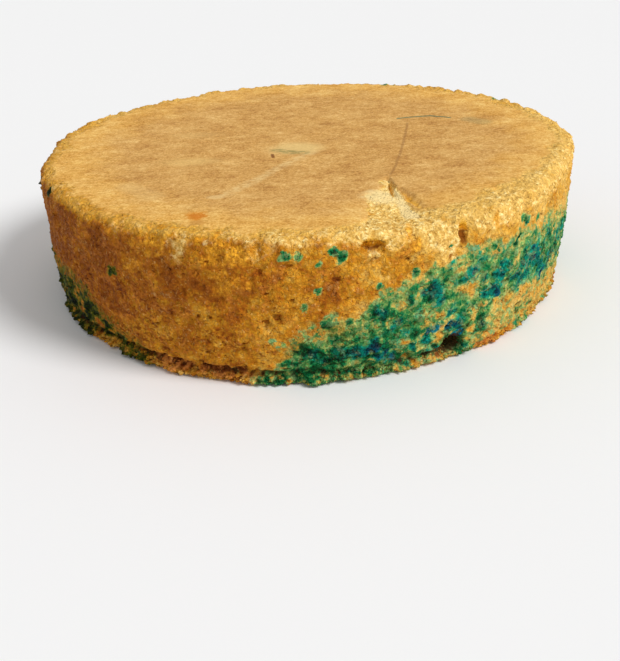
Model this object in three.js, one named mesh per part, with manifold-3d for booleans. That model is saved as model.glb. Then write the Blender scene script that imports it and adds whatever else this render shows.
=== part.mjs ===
// A round marble sponge cake as it comes out of its tin: one solid that stands on its flat base.
// Millimetres, +Z up, origin at the centre of the base. The front of the cake faces -Y.
// Angles round the cake are in degrees: 0 is the front, and 90 is +X.

import * as THREE from "three";
import { mergeVertices } from "three/addons/utils/BufferGeometryUtils.js";
import Module from "manifold-3d";

// Driving dimensions of the sponge.
const RIM_RADIUS = 114.6; // the wall leans out a little and is widest at the rim
const WALL_FOOT_RADIUS = 111.1; // the wall's radius down at the base
const WALL_BULGE = 0.9; // how far the wall's middle swells out past a straight line
const FOOT_SHIFT = 1.4; // how far the middle of the foot lies to the left of the rim's
const HEIGHT = 58.4;
const SHOULDER_RADIUS = 5; // the rounded edge between wall and top
const BASE_FLAT_RADIUS = 108.5; // the base rests on the table out to here

// The foot crust is the thin browned rim at the base, with a crease in the wall just above it.
const CRUST_THICKNESS = 3.2;
const CRUST_PROUD = 0.6; // how far it stands out past the wall
const CREASE_HEIGHT = 5.2;
const CREASE_HALF_WIDTH = 1.7;
const CREASE_DEPTH = 2.6;

// How finely the surface is faceted.
const ROUND_SIDES = 120;
const WALL_STEPS = 7;
const SHOULDER_STEPS = 4;
const TOP_RINGS = 7;

// Waves round the outline, the top and the foot crust.
// Each is how many times it goes round, its size, and the angle where it starts.
const OUTLINE_WAVES = [
  [2, 0.6, 254],
  [3, 1.75, 97],
  [5, 0.45, 200],
  [7, 0.65, 178],
];
const TOP_WAVES = [
  [1, 0.35, 80],
  [2, 0.3, 300],
  [4, 0.2, 150],
];
const CRUST_WAVES = [
  [7, 0.35, 40],
  [13, 0.3, 190],
  [24, 0.25, 10],
];

// Shallow lumps all over the wall.
// Each is how many go round, how high one pair is, its size, and the angle where it starts.
const WALL_LUMPS = [
  [11, 34, 0.35, 60],
  [19, 21, 0.3, 200],
];

// Where the crease is open.
// Each is the angle at its middle, its half spread in degrees, and its share of the full depth.
const OPEN_CREASES = [
  [-30, 42, 1],
  [150, 50, 0.7],
];

// The torn patch on the rim, right of the front, where skin and crumb have sunk.
const TORN_AT = { angle: 21, radius: 98 };
const TORN_SPREAD = { across: 15, along: 16 };
const TORN_DEPTH = 2.4;
const TORN_WALL_SPREAD = 13; // degrees to each side of the patch where the wall under it has worn back too
const TORN_WALL_DEPTH = 2;

// Open cracks in the top, each from one point to the other, with its width and depth.
const CRACKS = [
  { from: [31.5, -52], to: [32, -75], width: 1.8, depth: 2.5 },
  { from: [34.5, -65], to: [41.5, -86], width: 3, depth: 2.6 },
];

// Hollows in the wall, each as its angle, its height, and how wide, high and deep it is.
const HOLLOWS = [
  { angle: 28.3, height: 5.4, wide: 11, high: 8.8, deep: 8 }, // the torn-out hole over the foot crust
  { angle: 11, height: 53, wide: 8.8, high: 6.6, deep: 5 },
  { angle: 18.3, height: 54.8, wide: 4.5, high: 5, deep: 1.6 },
  { angle: 29, height: 52.8, wide: 4, high: 10, deep: 2.4 },
  { angle: -9.4, height: 54.8, wide: 6, high: 5, deep: 1.6 },
  { angle: 204, height: 30, wide: 7, high: 5, deep: 3 },
  { angle: 122, height: 41, wide: 5, high: 6, deep: 3 },
];

const bell = (distance) => Math.exp(-distance * distance);
const mix = (a, b, share) => a + (b - a) * share;
const sine = (degrees) => Math.sin(THREE.MathUtils.degToRad(degrees));
const degreesBetween = (a, b) => THREE.MathUtils.euclideanModulo(a - b + 180, 360) - 180;
const wave = (waves, angle) =>
  waves.reduce((sum, [turns, size, start]) => sum + size * sine(turns * angle + start), 0);

// The point at an angle round the cake, a radius and a height.
function around(angle, radius, height) {
  const a = THREE.MathUtils.degToRad(angle);
  return new THREE.Vector3(radius * Math.sin(a), -radius * Math.cos(a), height);
}

// Shifts a point to the left, the more the nearer it is to the base.
function lean(point) {
  point.x -= FOOT_SHIFT * (1 - point.z / HEIGHT);
  return point;
}

// How far the lumps stand out of the wall at an angle and a height.
const lumps = (angle, z) =>
  WALL_LUMPS.reduce(
    (sum, [turns, high, size, start]) =>
      sum + size * sine(turns * angle + start) * sine((360 * z) / high + start),
    0,
  );

// The wall's radius at a height, before the wall is made uneven.
function wallRadius(z) {
  const share = z / (HEIGHT - SHOULDER_RADIUS);
  return mix(WALL_FOOT_RADIUS, RIM_RADIUS, share) + 4 * WALL_BULGE * share * (1 - share);
}

// The sponge's section as [radius, height], from the middle of the base round to the middle of the top.
function section() {
  const points = [
    [0, 0],
    [BASE_FLAT_RADIUS / 2, 0],
    [BASE_FLAT_RADIUS, 0],
  ];
  const crustHeights = [0.25, 0.6, 1].map((share) => share * CRUST_THICKNESS);
  const footHeights = [...crustHeights, CREASE_HEIGHT, CREASE_HEIGHT + CREASE_HALF_WIDTH];
  const wallFoot = CREASE_HEIGHT + 2 * CREASE_HALF_WIDTH;
  const wallTop = HEIGHT - SHOULDER_RADIUS;
  const wallHeights = [];
  for (let k = 0; k <= WALL_STEPS; k++) wallHeights.push(mix(wallFoot, wallTop, k / WALL_STEPS));
  for (const z of [...footHeights, ...wallHeights]) points.push([wallRadius(z), z]);
  for (let k = 1; k <= SHOULDER_STEPS; k++) {
    const a = ((k / SHOULDER_STEPS) * Math.PI) / 2;
    points.push([
      RIM_RADIUS - SHOULDER_RADIUS * (1 - Math.cos(a)),
      wallTop + SHOULDER_RADIUS * Math.sin(a),
    ]);
  }
  const flatTop = RIM_RADIUS - SHOULDER_RADIUS;
  for (let k = TOP_RINGS - 1; k >= 0; k--) points.push([(flatTop * k) / TOP_RINGS, HEIGHT]);
  return points.map(([r, z]) => new THREE.Vector2(r, z));
}

// How much of the full crease is open at an angle, from 0 to 1.
const creaseShare = (angle) =>
  Math.min(
    1,
    OPEN_CREASES.reduce(
      (sum, [middle, spread, share]) => sum + share * bell(degreesBetween(angle, middle) / spread),
      0,
    ),
  );

// How far the half-round foot crust stands out, less the crease above it, at an angle and a height.
function footRelief(angle, z) {
  const fromItsMiddle = (2 * z) / CRUST_THICKNESS - 1;
  const crust = Math.sqrt(Math.max(0, 1 - fromItsMiddle * fromItsMiddle));
  const crease = bell((z - CREASE_HEIGHT) / CREASE_HALF_WIDTH) * creaseShare(angle);
  return crust * (CRUST_PROUD + wave(CRUST_WAVES, angle)) - CREASE_DEPTH * crease;
}

// How far the top of the wall has worn back under the torn patch.
function wallWear(angle, z) {
  const side = bell(degreesBetween(angle, TORN_AT.angle) / TORN_WALL_SPREAD);
  return TORN_WALL_DEPTH * side * THREE.MathUtils.smoothstep(z, HEIGHT - 3 * SHOULDER_RADIUS, HEIGHT);
}

// How far the top has sunk at a point, in the torn patch.
function tornDepth(x, y) {
  const at = around(TORN_AT.angle, TORN_AT.radius, 0);
  const out = at.clone().normalize();
  const dx = x - at.x;
  const dy = y - at.y;
  const along = dx * out.x + dy * out.y;
  const across = dx * out.y - dy * out.x;
  return TORN_DEPTH * bell(across / TORN_SPREAD.across) * bell(along / TORN_SPREAD.along);
}

// Moves a point of the true round section to where the uneven sponge has it.
function uneven(point) {
  const radius = Math.hypot(point.x, point.y);
  const angle = THREE.MathUtils.radToDeg(Math.atan2(point.x, -point.y));
  if (point.z > 0) {
    const relief = lumps(angle, point.z) + footRelief(angle, point.z) - wallWear(angle, point.z);
    const share = point.z < HEIGHT - SHOULDER_RADIUS ? 1 : radius / RIM_RADIUS;
    point.copy(around(angle, radius + (wave(OUTLINE_WAVES, angle) + relief) * share, point.z));
  }
  lean(point);
  const topShare = THREE.MathUtils.smoothstep(point.z, HEIGHT - 3 * SHOULDER_RADIUS, HEIGHT);
  const swell = wave(TOP_WAVES, angle) * (radius / RIM_RADIUS);
  point.z += topShare * (swell - tornDepth(point.x, point.y));
  return point;
}

const wasm = await Module();
wasm.setup();

// A three.js geometry as a manifold-3d solid, with the faces that have shrunk to nothing left out.
function solidFrom(geometry) {
  const bare = geometry.clone();
  bare.deleteAttribute("normal");
  bare.deleteAttribute("uv");
  const merged = mergeVertices(bare, 1e-3);
  const index = merged.index.array;
  const triangles = [];
  for (let i = 0; i < index.length; i += 3) {
    const [a, b, c] = [index[i], index[i + 1], index[i + 2]];
    if (a !== b && b !== c && c !== a) triangles.push(a, b, c);
  }
  return new wasm.Manifold(
    new wasm.Mesh({
      numProp: 3,
      vertProperties: merged.attributes.position.array,
      triVerts: new Uint32Array(triangles),
    }),
  );
}

// A manifold-3d solid as a three.js geometry.
function geometryFrom(solid) {
  const mesh = solid.getMesh();
  const geometry = new THREE.BufferGeometry();
  geometry.setAttribute("position", new THREE.BufferAttribute(mesh.vertProperties, 3));
  geometry.setIndex(new THREE.BufferAttribute(mesh.triVerts, 1));
  geometry.computeVertexNormals();
  return geometry;
}

// The whole sponge before anything is torn out of it: the section turned round Z, then made uneven.
function sponge() {
  const turned = new THREE.LatheGeometry(section(), ROUND_SIDES).rotateX(Math.PI / 2);
  const position = turned.attributes.position;
  const point = new THREE.Vector3();
  for (let i = 0; i < position.count; i++) {
    uneven(point.fromBufferAttribute(position, i));
    position.setXYZ(i, point.x, point.y, point.z);
  }
  return solidFrom(turned);
}

// A hollow in the wall: a lumpy ball, pressed into the wall at its angle and height.
function hollow({ angle, height, wide, high, deep }) {
  const ball = new THREE.SphereGeometry(1, 14, 10);
  const position = ball.attributes.position;
  const point = new THREE.Vector3();
  for (let i = 0; i < position.count; i++) {
    point.fromBufferAttribute(position, i);
    const lump = 1 + 0.08 * Math.sin(5 * point.x + angle) * Math.cos(4 * point.y + height);
    point.multiplyScalar(lump);
    position.setXYZ(i, point.x, point.y, point.z);
  }
  const radius = wallRadius(height) + wave(OUTLINE_WAVES, angle) - wallWear(angle, height);
  ball.scale(wide / 2, deep, high / 2);
  ball.rotateZ(THREE.MathUtils.degToRad(angle));
  ball.translate(...lean(around(angle, radius, height)));
  return solidFrom(ball);
}

// An open crack in the top: a leaf-shaped wedge as deep as the crack.
function crack({ from, to, width, depth }) {
  const start = new THREE.Vector2(...from);
  const run = new THREE.Vector2(...to).sub(start);
  const leaf = new THREE.Shape();
  leaf.moveTo(0, 0);
  leaf.quadraticCurveTo(run.length() * 0.6, width, run.length(), 0);
  leaf.quadraticCurveTo(run.length() * 0.6, -width, 0, 0);
  const clearAbove = 2 * SHOULDER_RADIUS;
  const blade = new THREE.ExtrudeGeometry(leaf, {
    depth: depth + clearAbove,
    bevelEnabled: false,
    curveSegments: 6,
  });
  blade.rotateZ(run.angle());
  blade.translate(start.x, start.y, HEIGHT - depth);
  return solidFrom(blade);
}

const torn = [...CRACKS.map(crack), ...HOLLOWS.map(hollow)];
const cake = torn.reduce((left, piece) => left.subtract(piece), sponge());

const crumb = new THREE.MeshStandardMaterial({ color: 0xd6a057, roughness: 0.85, metalness: 0 });
const mesh = new THREE.Mesh(geometryFrom(cake), crumb);
mesh.name = "marble_cake";

const group = new THREE.Group();
group.add(mesh);

export default group;
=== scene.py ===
# %% [markdown]
# # A marble cake
# This lesson dresses one baked thing: a round vanilla sponge with blue-green marbling. Its true
# shape comes from the frame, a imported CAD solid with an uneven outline, cracks, hollows and a
# thin crust round its foot. Blender adds what the solid is too coarse to hold: the crumb, the
# skin, the colours and the loose bits. Lengths are in millimetres until a mesh is built.

# %% Open the frame
import math

import bpy
import numpy as np
from mathutils import Matrix, Vector, noise
from mathutils.bvhtree import BVHTree


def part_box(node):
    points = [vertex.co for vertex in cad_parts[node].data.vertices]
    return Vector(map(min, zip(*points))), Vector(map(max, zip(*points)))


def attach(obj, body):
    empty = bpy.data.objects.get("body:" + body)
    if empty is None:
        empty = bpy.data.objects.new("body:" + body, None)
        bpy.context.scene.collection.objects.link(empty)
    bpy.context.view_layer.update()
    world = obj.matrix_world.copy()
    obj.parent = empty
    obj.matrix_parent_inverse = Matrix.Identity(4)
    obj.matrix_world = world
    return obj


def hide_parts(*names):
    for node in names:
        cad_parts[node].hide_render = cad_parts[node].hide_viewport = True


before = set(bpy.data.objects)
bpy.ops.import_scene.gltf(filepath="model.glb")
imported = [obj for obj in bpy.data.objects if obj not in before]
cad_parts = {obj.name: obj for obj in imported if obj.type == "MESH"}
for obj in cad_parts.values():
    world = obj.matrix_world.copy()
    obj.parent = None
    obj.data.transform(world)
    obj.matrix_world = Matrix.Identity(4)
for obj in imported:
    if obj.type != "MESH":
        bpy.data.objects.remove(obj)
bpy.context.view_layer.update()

MM = 0.001
cad_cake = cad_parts["marble_cake"]
low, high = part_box("marble_cake")
RIM_RADIUS = (high.x - low.x) / 2 / MM
HEIGHT = high.z / MM
print(f"the frame's cake: rim radius {RIM_RADIUS:.1f} mm, height {HEIGHT:.1f} mm")

# %% [markdown]
# ## The camera
# A camera can be aimed with a Track To constraint, by hand, or by a matrix. Here it stands a
# little above the rim, four rim radii from the middle of the top, looks down by its own tilt, and
# is rolled slightly, so a matrix says it best: turn about the view axis first, tip down, then
# carry it to its place.

# %% Camera
EYE_DISTANCE = 463.6 * MM
EYE_ELEVATION = 16.29
TOP_MIDDLE = Vector((0, 0, 59.6 * MM))
TILT_DOWN = 26.69
TURN_LEFT = 0.28
ROLL = -2.7
LENS = 56.7
NEAREST_SEEN = 0.01

rise = math.radians(EYE_ELEVATION)
eye = TOP_MIDDLE + EYE_DISTANCE * Vector((0, -math.cos(rise), math.sin(rise)))
camera = bpy.data.objects.new("camera", bpy.data.cameras.new("camera"))
camera.data.lens = LENS
camera.data.clip_start = NEAREST_SEEN
bpy.context.scene.collection.objects.link(camera)
camera.matrix_world = (
    Matrix.Translation(eye)
    @ Matrix.Rotation(math.radians(TURN_LEFT), 4, "Z")
    @ Matrix.Rotation(math.radians(90 - TILT_DOWN), 4, "X")
    @ Matrix.Rotation(math.radians(ROLL), 4, "Z")
)
bpy.context.scene.camera = camera
print("camera at", [round(v, 3) for v in eye])

# %% [markdown]
# ## Floor
# The cake stands on something plain and pale. A curved backdrop would hide the horizon from any
# camera, but this one looks down, so one square that runs far out behind the cake is enough. It
# lies a hair below the base, because two flat faces in one place flicker.

# %% Floor
FLOOR_SIDE = 6.0
FLOOR_GAP = 0.2 * MM
FLOOR_WHITE = (246, 246, 246)
FLOOR_ROUGHNESS = 0.8


def linear(red, green, blue):
    """A colour picked as on a screen, from 0 to 255, in the linear light that shaders use."""
    shares = [v / 255 for v in (red, green, blue)]
    return [s / 12.92 if s <= 0.04045 else ((s + 0.055) / 1.055) ** 2.4 for s in shares]


half = FLOOR_SIDE / 2
floor_corners = [(x, y, -FLOOR_GAP) for x, y in ((-half, -half), (half, -half), (half, half), (-half, half))]
floor_mesh = bpy.data.meshes.new("floor")
floor_mesh.from_pydata(floor_corners, [], [(0, 1, 2, 3)])
floor = bpy.data.objects.new("floor", floor_mesh)
bpy.context.scene.collection.objects.link(floor)
paper = bpy.data.materials.new("pale_floor")
paper.use_nodes = True
paper_shader = paper.node_tree.nodes["Principled BSDF"]
paper_shader.inputs["Base Color"].default_value = (*linear(*FLOOR_WHITE), 1)
paper_shader.inputs["Roughness"].default_value = FLOOR_ROUGHNESS
floor_mesh.materials.append(paper)
print(f"floor {FLOOR_SIDE:.0f} m wide, {FLOOR_GAP / MM:.1f} mm below the cake")

# %% [markdown]
# ## Light
# An area lamp would make the floor fade away from it, so the key is a soft sun, high on the
# right: it gives the crumb its relief, leaves the left of the wall in shade, and lights the whole
# floor alike. The white world fills the shadows. The Standard view keeps the colours as they are
# painted, where a film-like view would wash out the dye.

# %% World and key light
SKY = 0.5
KEY = 2.3
KEY_SPREAD = 22
TOWARDS_KEY = Vector((0.8, -0.45, 0.85))

world = bpy.data.worlds.new("studio")
bpy.context.scene.world = world
world.use_nodes = True
backdrop = world.node_tree.nodes["Background"]
backdrop.inputs["Color"].default_value = (1, 1, 1, 1)
backdrop.inputs["Strength"].default_value = SKY
bpy.context.scene.view_settings.view_transform = "Standard"

key = bpy.data.objects.new("key", bpy.data.lights.new("key", "SUN"))
key.data.energy = KEY
key.data.angle = math.radians(KEY_SPREAD)
key.location = TOWARDS_KEY
key.rotation_euler = TOWARDS_KEY.to_track_quat("Z", "Y").to_euler()
bpy.context.scene.collection.objects.link(key)
print(f"a white world at {SKY} and a sun at {KEY}, {KEY_SPREAD} degrees wide")

# %% [markdown]
# ## A net over the solid
# The sponge's surface could be sculpted, remeshed from the solid, or wrapped. A remesh loses the
# even rows that relief needs, so this lesson wraps: a fine net of rings is laid round a plain
# drum, and each knot is shot along the drum's normal until it meets the solid. The net then has
# the solid's own outline, cracks and hollows. Rows lie closest where the crumb shows most, on the
# wall and along the rim, and towards the middle of the top the rings have ever fewer knots, so
# that no quad gets needle thin.

# %% The net's rings
COLUMNS = 832
FEWEST_COLUMNS = 52
BASE_RINGS = [(26, 52), (50, 52), (74, 104), (92, 208), (102, 416), (107.5, 832)]
FIRST_ROW = 0.35
FOOT_TOP = 9.0
FOOT_STEP = 0.65
WALL_STEP = 0.86
LAST_ROW_GAP = 0.7
SHOULDER = 5.0
SHOULDER_STEPS = 8
RIM_ZONE = 17.0
RIM_STEP = 1.0
TOP_STEP = 1.25
LEAST_GAP = 0.735

# a ring is its radius, its height, how far its normal leans up from level, and its columns
rings = [(radius, 0.0, -90.0, columns) for radius, columns in BASE_RINGS]
z = FIRST_ROW
while z < HEIGHT - SHOULDER - LAST_ROW_GAP:
    rings.append((RIM_RADIUS, z, 0.0, COLUMNS))
    z += FOOT_STEP if z < FOOT_TOP else WALL_STEP
for step in range(SHOULDER_STEPS + 1):
    lean = 90 * step / SHOULDER_STEPS
    out = SHOULDER * math.cos(math.radians(lean))
    up = SHOULDER * math.sin(math.radians(lean))
    rings.append((RIM_RADIUS - SHOULDER + out, HEIGHT - SHOULDER + up, lean, COLUMNS))
strip_end = len(rings) - 1
radius = RIM_RADIUS - SHOULDER - RIM_STEP
columns = COLUMNS
while radius > TOP_STEP:
    if columns > FEWEST_COLUMNS and 2 * math.pi * radius / columns < LEAST_GAP:
        columns //= 2
    rings.append((radius, HEIGHT, 90.0, columns))
    radius -= RIM_STEP if radius > RIM_RADIUS - RIM_ZONE else TOP_STEP
print(len(rings), "rings,", sum(r[3] for r in rings), "knots")

# %% Shoot the knots at the solid
STAND_OFF = 14.0
solid = BVHTree.FromPolygons(
    [v.co / MM for v in cad_cake.data.vertices], [list(p.vertices) for p in cad_cake.data.polygons]
)


def knot(radius, z, lean, turn):
    """Where one knot meets the solid, the drum's normal there, and how far the knot stands off the drum."""
    a = math.radians(lean)
    outward = Vector((math.sin(turn), -math.cos(turn), 0))
    normal = outward * math.cos(a) + Vector((0, 0, math.sin(a)))
    plain = outward * radius + Vector((0, 0, z))
    if lean < 0:
        return plain, normal, 0.0
    hit = solid.ray_cast(plain + normal * STAND_OFF, -normal)[0]
    return (hit, normal, (hit - plain).dot(normal)) if hit else (plain, normal, 0.0)


places, normals, proud, first = [], [], [], []
for radius, z, lean, columns in rings:
    first.append(len(places))
    for column in range(columns):
        place, normal, off = knot(radius, z, lean, 2 * math.pi * column / columns)
        places.append(place)
        normals.append(normal)
        proud.append(off)
base_middle, top_knot = len(places), len(places) + 1
places += [Vector((0, 0, 0)), solid.ray_cast(Vector((0, 0, HEIGHT + STAND_OFF)), Vector((0, 0, -1)))[0]]
normals += [Vector((0, 0, -1)), Vector((0, 0, 1))]
places = np.array([tuple(p) for p in places])
normals = np.array([tuple(n) for n in normals])
print("net reaches", places.min(0).round(1), "to", places.max(0).round(1), "mm")

# %% [markdown]
# ## Faces
# The rows tie into quads. Where one ring has half the knots of the next, each pair of its
# neighbour's knots meets one of its own in three triangles, so no hole is left. The middle of the
# base and of the top are closed by a fan of triangles round one last knot.

# %% Tie the rings into faces
def between(lower, upper):
    """The faces between two rings, given as (first knot, columns). One may have half the other's columns."""
    (a, n), (b, m) = lower, upper
    if n == m:
        return [(a + j, a + (j + 1) % n, b + (j + 1) % m, b + j) for j in range(n)]
    if n < m:
        return [tuple(reversed(face)) for face in between(upper, lower)]
    made = []
    for j in range(m):
        k, p, q = 2 * j, b + j, b + (j + 1) % m
        made += [(a + k, a + k + 1, p), (a + k + 1, q, p), (a + k + 1, a + (k + 2) % n, q)]
    return made


loops = [(start, ring[3]) for start, ring in zip(first, rings)]
bands = [between(lower, upper) for lower, upper in zip(loops, loops[1:])]
start, n = loops[0]
base_fan = [(base_middle, start + (j + 1) % n, start + j) for j in range(n)]
start, n = loops[-1]
top_fan = [(top_knot, start + j, start + (j + 1) % n) for j in range(n)]
faces = [face for band in bands for face in band] + base_fan + top_fan
print(len(faces), "faces,", sum(len(face) - 2 for face in faces), "triangles")

# %% [markdown]
# ## A flat map of the faces
# An export bakes the finish into a picture, which needs each face's place on a flat map. Blender can unwrap
# by itself, but a rough crumb breaks its map into thousands of scraps. So the map is laid out here, in
# millimetres: the top as a disc, the wall as two long strips beside it, and the base as a smaller disc above.
# The map is named OFBake.

# %% The flat map
MAP_SIDE = 374.0
MAP_GAP = 1.5
DISC_MARGIN = 2
DISC = RIM_RADIUS - SHOULDER + DISC_MARGIN
BASE_SCALE = 0.6
strip_start = len(BASE_RINGS)
section = np.array([(ring[0], ring[1]) for ring in rings[strip_start:strip_end + 1]])
climb = np.concatenate([[0], np.cumsum(np.linalg.norm(np.diff(section, axis=0), axis=1))])
STRIP_WIDTH = climb[-1]
STRIP_LENGTH = MAP_SIDE - 2 * MAP_GAP


def strip_map(row):
    """The corners of one band of the wall, on the two strips."""
    made = []
    for j in range(COLUMNS):
        strip, along = divmod(j, COLUMNS // 2)
        left = 2 * DISC + (strip + 1) * MAP_GAP + strip * (STRIP_WIDTH + MAP_GAP) + MAP_GAP
        for step, k in ((0, 0), (1, 0), (1, 1), (0, 1)):
            made.append((left + climb[row + k], MAP_GAP + STRIP_LENGTH * (along + step) / (COLUMNS // 2)))
    return made


def disc_map(corners, scale, middle):
    """The corners of flat faces, seen from above, at a scale and round a middle."""
    return [(places[c][0] * scale + middle[0], places[c][1] * scale + middle[1]) for c in corners]


top_spot = (DISC + MAP_GAP, DISC + MAP_GAP)
base_spot = (DISC * BASE_SCALE + MAP_GAP, 2 * DISC + 3 * MAP_GAP + DISC * BASE_SCALE)
flat_map = []
for row, band in enumerate(bands):
    corners = [corner for face in band for corner in face]
    if row < strip_start:
        flat_map += disc_map(corners, BASE_SCALE, base_spot)
    elif row < strip_end:
        flat_map += strip_map(row - strip_start)
    else:
        flat_map += disc_map(corners, 1.0, top_spot)
flat_map += disc_map([corner for face in base_fan for corner in face], BASE_SCALE, base_spot)
flat_map += disc_map([corner for face in top_fan for corner in face], 1.0, top_spot)
flat_map = np.array(flat_map) / MAP_SIDE
print("map corners", len(flat_map), "within", flat_map.min(0).round(3), flat_map.max(0).round(3))

# %% [markdown]
# ## What the sponge is like at a place
# The skin, the toasting and the marbling all depend on where on the cake one looks. So that the
# body and every loose crumb agree, each is a small function of points in millimetres that gives a
# share from 0 to 1. Round the wall a place is an angle, 0 at the front and 90 on the right, and a
# height. Blender's own Perlin noise breaks up every edge.

# %% Noise, easing and measures
NOISE_GAIN = 1.6


def grain(points, size, seed=0.0, squash=1.0):
    """Smooth noise from about -1 to 1, with lumps about size millimetres, flatter if squash is over 1."""
    shifted = points / size * np.array([1, 1, squash]) + np.array([seed, 2.3 * seed, -1.7 * seed])
    return np.array([noise.noise(p) for p in shifted.tolist()]) * NOISE_GAIN


def ease(value, start, end):
    """0 up to start, 1 from end on, and smooth between them. start may be the larger."""
    t = np.clip((value - start) / (end - start), 0, 1)
    return t * t * (3 - 2 * t)


def bell(value):
    """1 at zero, falling smoothly to nothing by about two on either side."""
    return np.exp(-value * value)


def angle_of(points):
    """Degrees round the cake, 0 at the front and 90 on the right."""
    return np.degrees(np.arctan2(points[:, 0], -points[:, 1]))


def radius_of(points):
    """How far points are from the cake's axis."""
    return np.hypot(points[:, 0], points[:, 1])


knot_angles, knot_radii, knot_heights = angle_of(places), radius_of(places), places[:, 2]
print(f"knots lie up to {knot_radii.max():.1f} mm from the axis")

# %% Lines and spots
SPOT_REACH = 1.35
ON_WALL = (RIM_RADIUS - 14, RIM_RADIUS - 8)
ON_TOP = (HEIGHT - 10, HEIGHT - 6)


def round_line(angles, stations):
    """A value that goes round the cake, given at a few angles in rising order."""
    return np.interp(angles, [s[0] for s in stations], [s[1] for s in stations], period=360)


def wall_spots(points, centres, push=0.35):
    """The most that any spot on the wall has of each point: 1 in its middle, 0 outside.

    Each spot is its angle, height and size, and maybe how wide and how strong it is. push makes it ragged.
    """
    angles, z = angle_of(points), points[:, 2]
    reach = SPOT_REACH + push * grain(points, 2.6, 8)
    most = np.zeros(len(points))
    for angle, height, size, wide, strength in ((*spot, 1, 1)[:5] for spot in centres):
        across = np.radians((angles - angle + 180) % 360 - 180) * RIM_RADIUS / wide
        most = np.maximum(most, strength * np.clip(reach - np.hypot(across, z - height) / size, 0, 1))
    return most * ease(radius_of(points), *ON_WALL)


def top_spots(points, centres, push=0.25):
    """The same for spots on the top, each its x, y and size."""
    reach = SPOT_REACH + push * grain(points, 2.6, 9)
    most = np.zeros(len(points))
    for x, y, size in centres:
        most = np.maximum(most, reach - np.hypot(points[:, 0] - x, points[:, 1] - y) / size)
    return np.clip(most, 0, 1) * ease(points[:, 2], *ON_TOP)


trial = wall_spots(places, [(0, HEIGHT / 2, 5)])
print("a spot 5 mm in size takes in", int((trial > 0.5).sum()), "knots")

# %% [markdown]
# ## Top, torn crumb and skin
# The top baked a smooth skin. It crumbles away before the rim, and on the front right a wedge of
# it tore off, from a crack inwards to the rim. A painted mask could say where skin is, but would
# need an image; a distance to the rim and the wedge's own outline say it as well, and noise
# makes both edges ragged.

# %% Top, torn crumb and skin
# y down the wedge, and the x of its left and of its right edge there
TEAR = [
    (-53, 31.3, 31.7), (-60, 27.5, 33), (-66, 24.5, 34), (-74, 21.5, 35.8), (-84, 22, 38),
    (-93, 22, 40.4), (-97, 19, 47), (-104, 15, 53), (-116, 12, 58),
]
# an angle round the cake, and how far in from the rim the skin has crumbled away
CRUMBLED = [(-180, 8), (-60, 7.5), (-10, 9), (12, 12), (24, 17), (40, 16), (60, 11), (90, 8)]


def topness(points):
    """1 on the flat top, 0 on the wall."""
    inwards = ease(radius_of(points), RIM_RADIUS - 0.5, RIM_RADIUS - 4)
    return ease(points[:, 2], HEIGHT - 6.5, HEIGHT - 2.5) * inwards


def torn(points):
    """1 where the skin has come off: a wedge that opens from its tip to the rim, straight on its right."""
    down, left, right = np.array(TEAR).T
    left = np.interp(-points[:, 1], -down, left) + 2.6 * grain(points, 5, 3)
    right = np.interp(-points[:, 1], -down, right) + 0.3 * grain(points, 4, 4)
    inside = np.minimum(points[:, 0] - left, right - points[:, 0])
    return ease(inside, -0.6, 0.8) * ease(points[:, 1], down[0], down[0] - 2) * topness(points)


def skin(points):
    """1 where the smooth baked skin is whole. It crumbles away over the last stretch before the rim."""
    edge = RIM_RADIUS - radius_of(points) - round_line(angle_of(points), CRUMBLED)
    edge = edge + 3.4 * grain(points, 9, 5) + 1.2 * grain(points, 3, 6)
    return ease(edge, -5, 5) * topness(points) * (1 - torn(points))


top_share, torn_share, skin_share = topness(places), torn(places), skin(places)
crumb_share = 1 - skin_share
print(f"skin on {skin_share.mean():.0%} of the knots, torn crumb on {torn_share.mean():.1%}")

# %% [markdown]
# ## Marbling
# Coloured batter sank to the foot of the tin and rose on the right. Its edge could be one noise
# pattern, but marbling has a story: it is told as the heights of its upper and lower edge round
# the wall, and how full and how hazy it is between them. The very foot, its lip, has a line of its
# own, because the batter there ran in and out under the cake.

# %% The marbling's edges and body
# an angle round the cake, and a height in millimetres
MARBLE_TOP = [
    (-180, 25), (-165, 31), (-150, 27), (-132, 16), (-115, 12), (-98, 20), (-80, 22), (-68, 21),
    (-60, 22), (-52, 20), (-49, 14), (-44, 10), (-39, 7), (-33, 5), (-12, 5), (-8, 6), (-6, 9),
    (-4, 13.5), (-2, 18), (1, 19), (3, 24), (5, 20), (9, 22), (10.5, 27), (13, 30.5), (15, 27), (17, 30),
    (20, 33), (22.5, 37), (25, 35), (28, 37), (31, 41), (33, 39), (36, 37.5), (41, 38), (46, 38.5),
    (52, 37), (56, 38), (60, 36), (65, 34), (70, 33), (80, 31), (90, 30), (100, 28), (112, 19), (126, 26),
    (140, 22), (156, 14), (168, 18),
]
MARBLE_FOOT = [
    (-180, -3), (28, -3), (32, 8), (35.5, 9), (36.8, 20), (45, 21.5), (51, 20.5), (56, 17), (60, 17),
    (65, 15), (70, 13), (75, 10), (80, 7), (88, 3), (96, -3),
]
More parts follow.
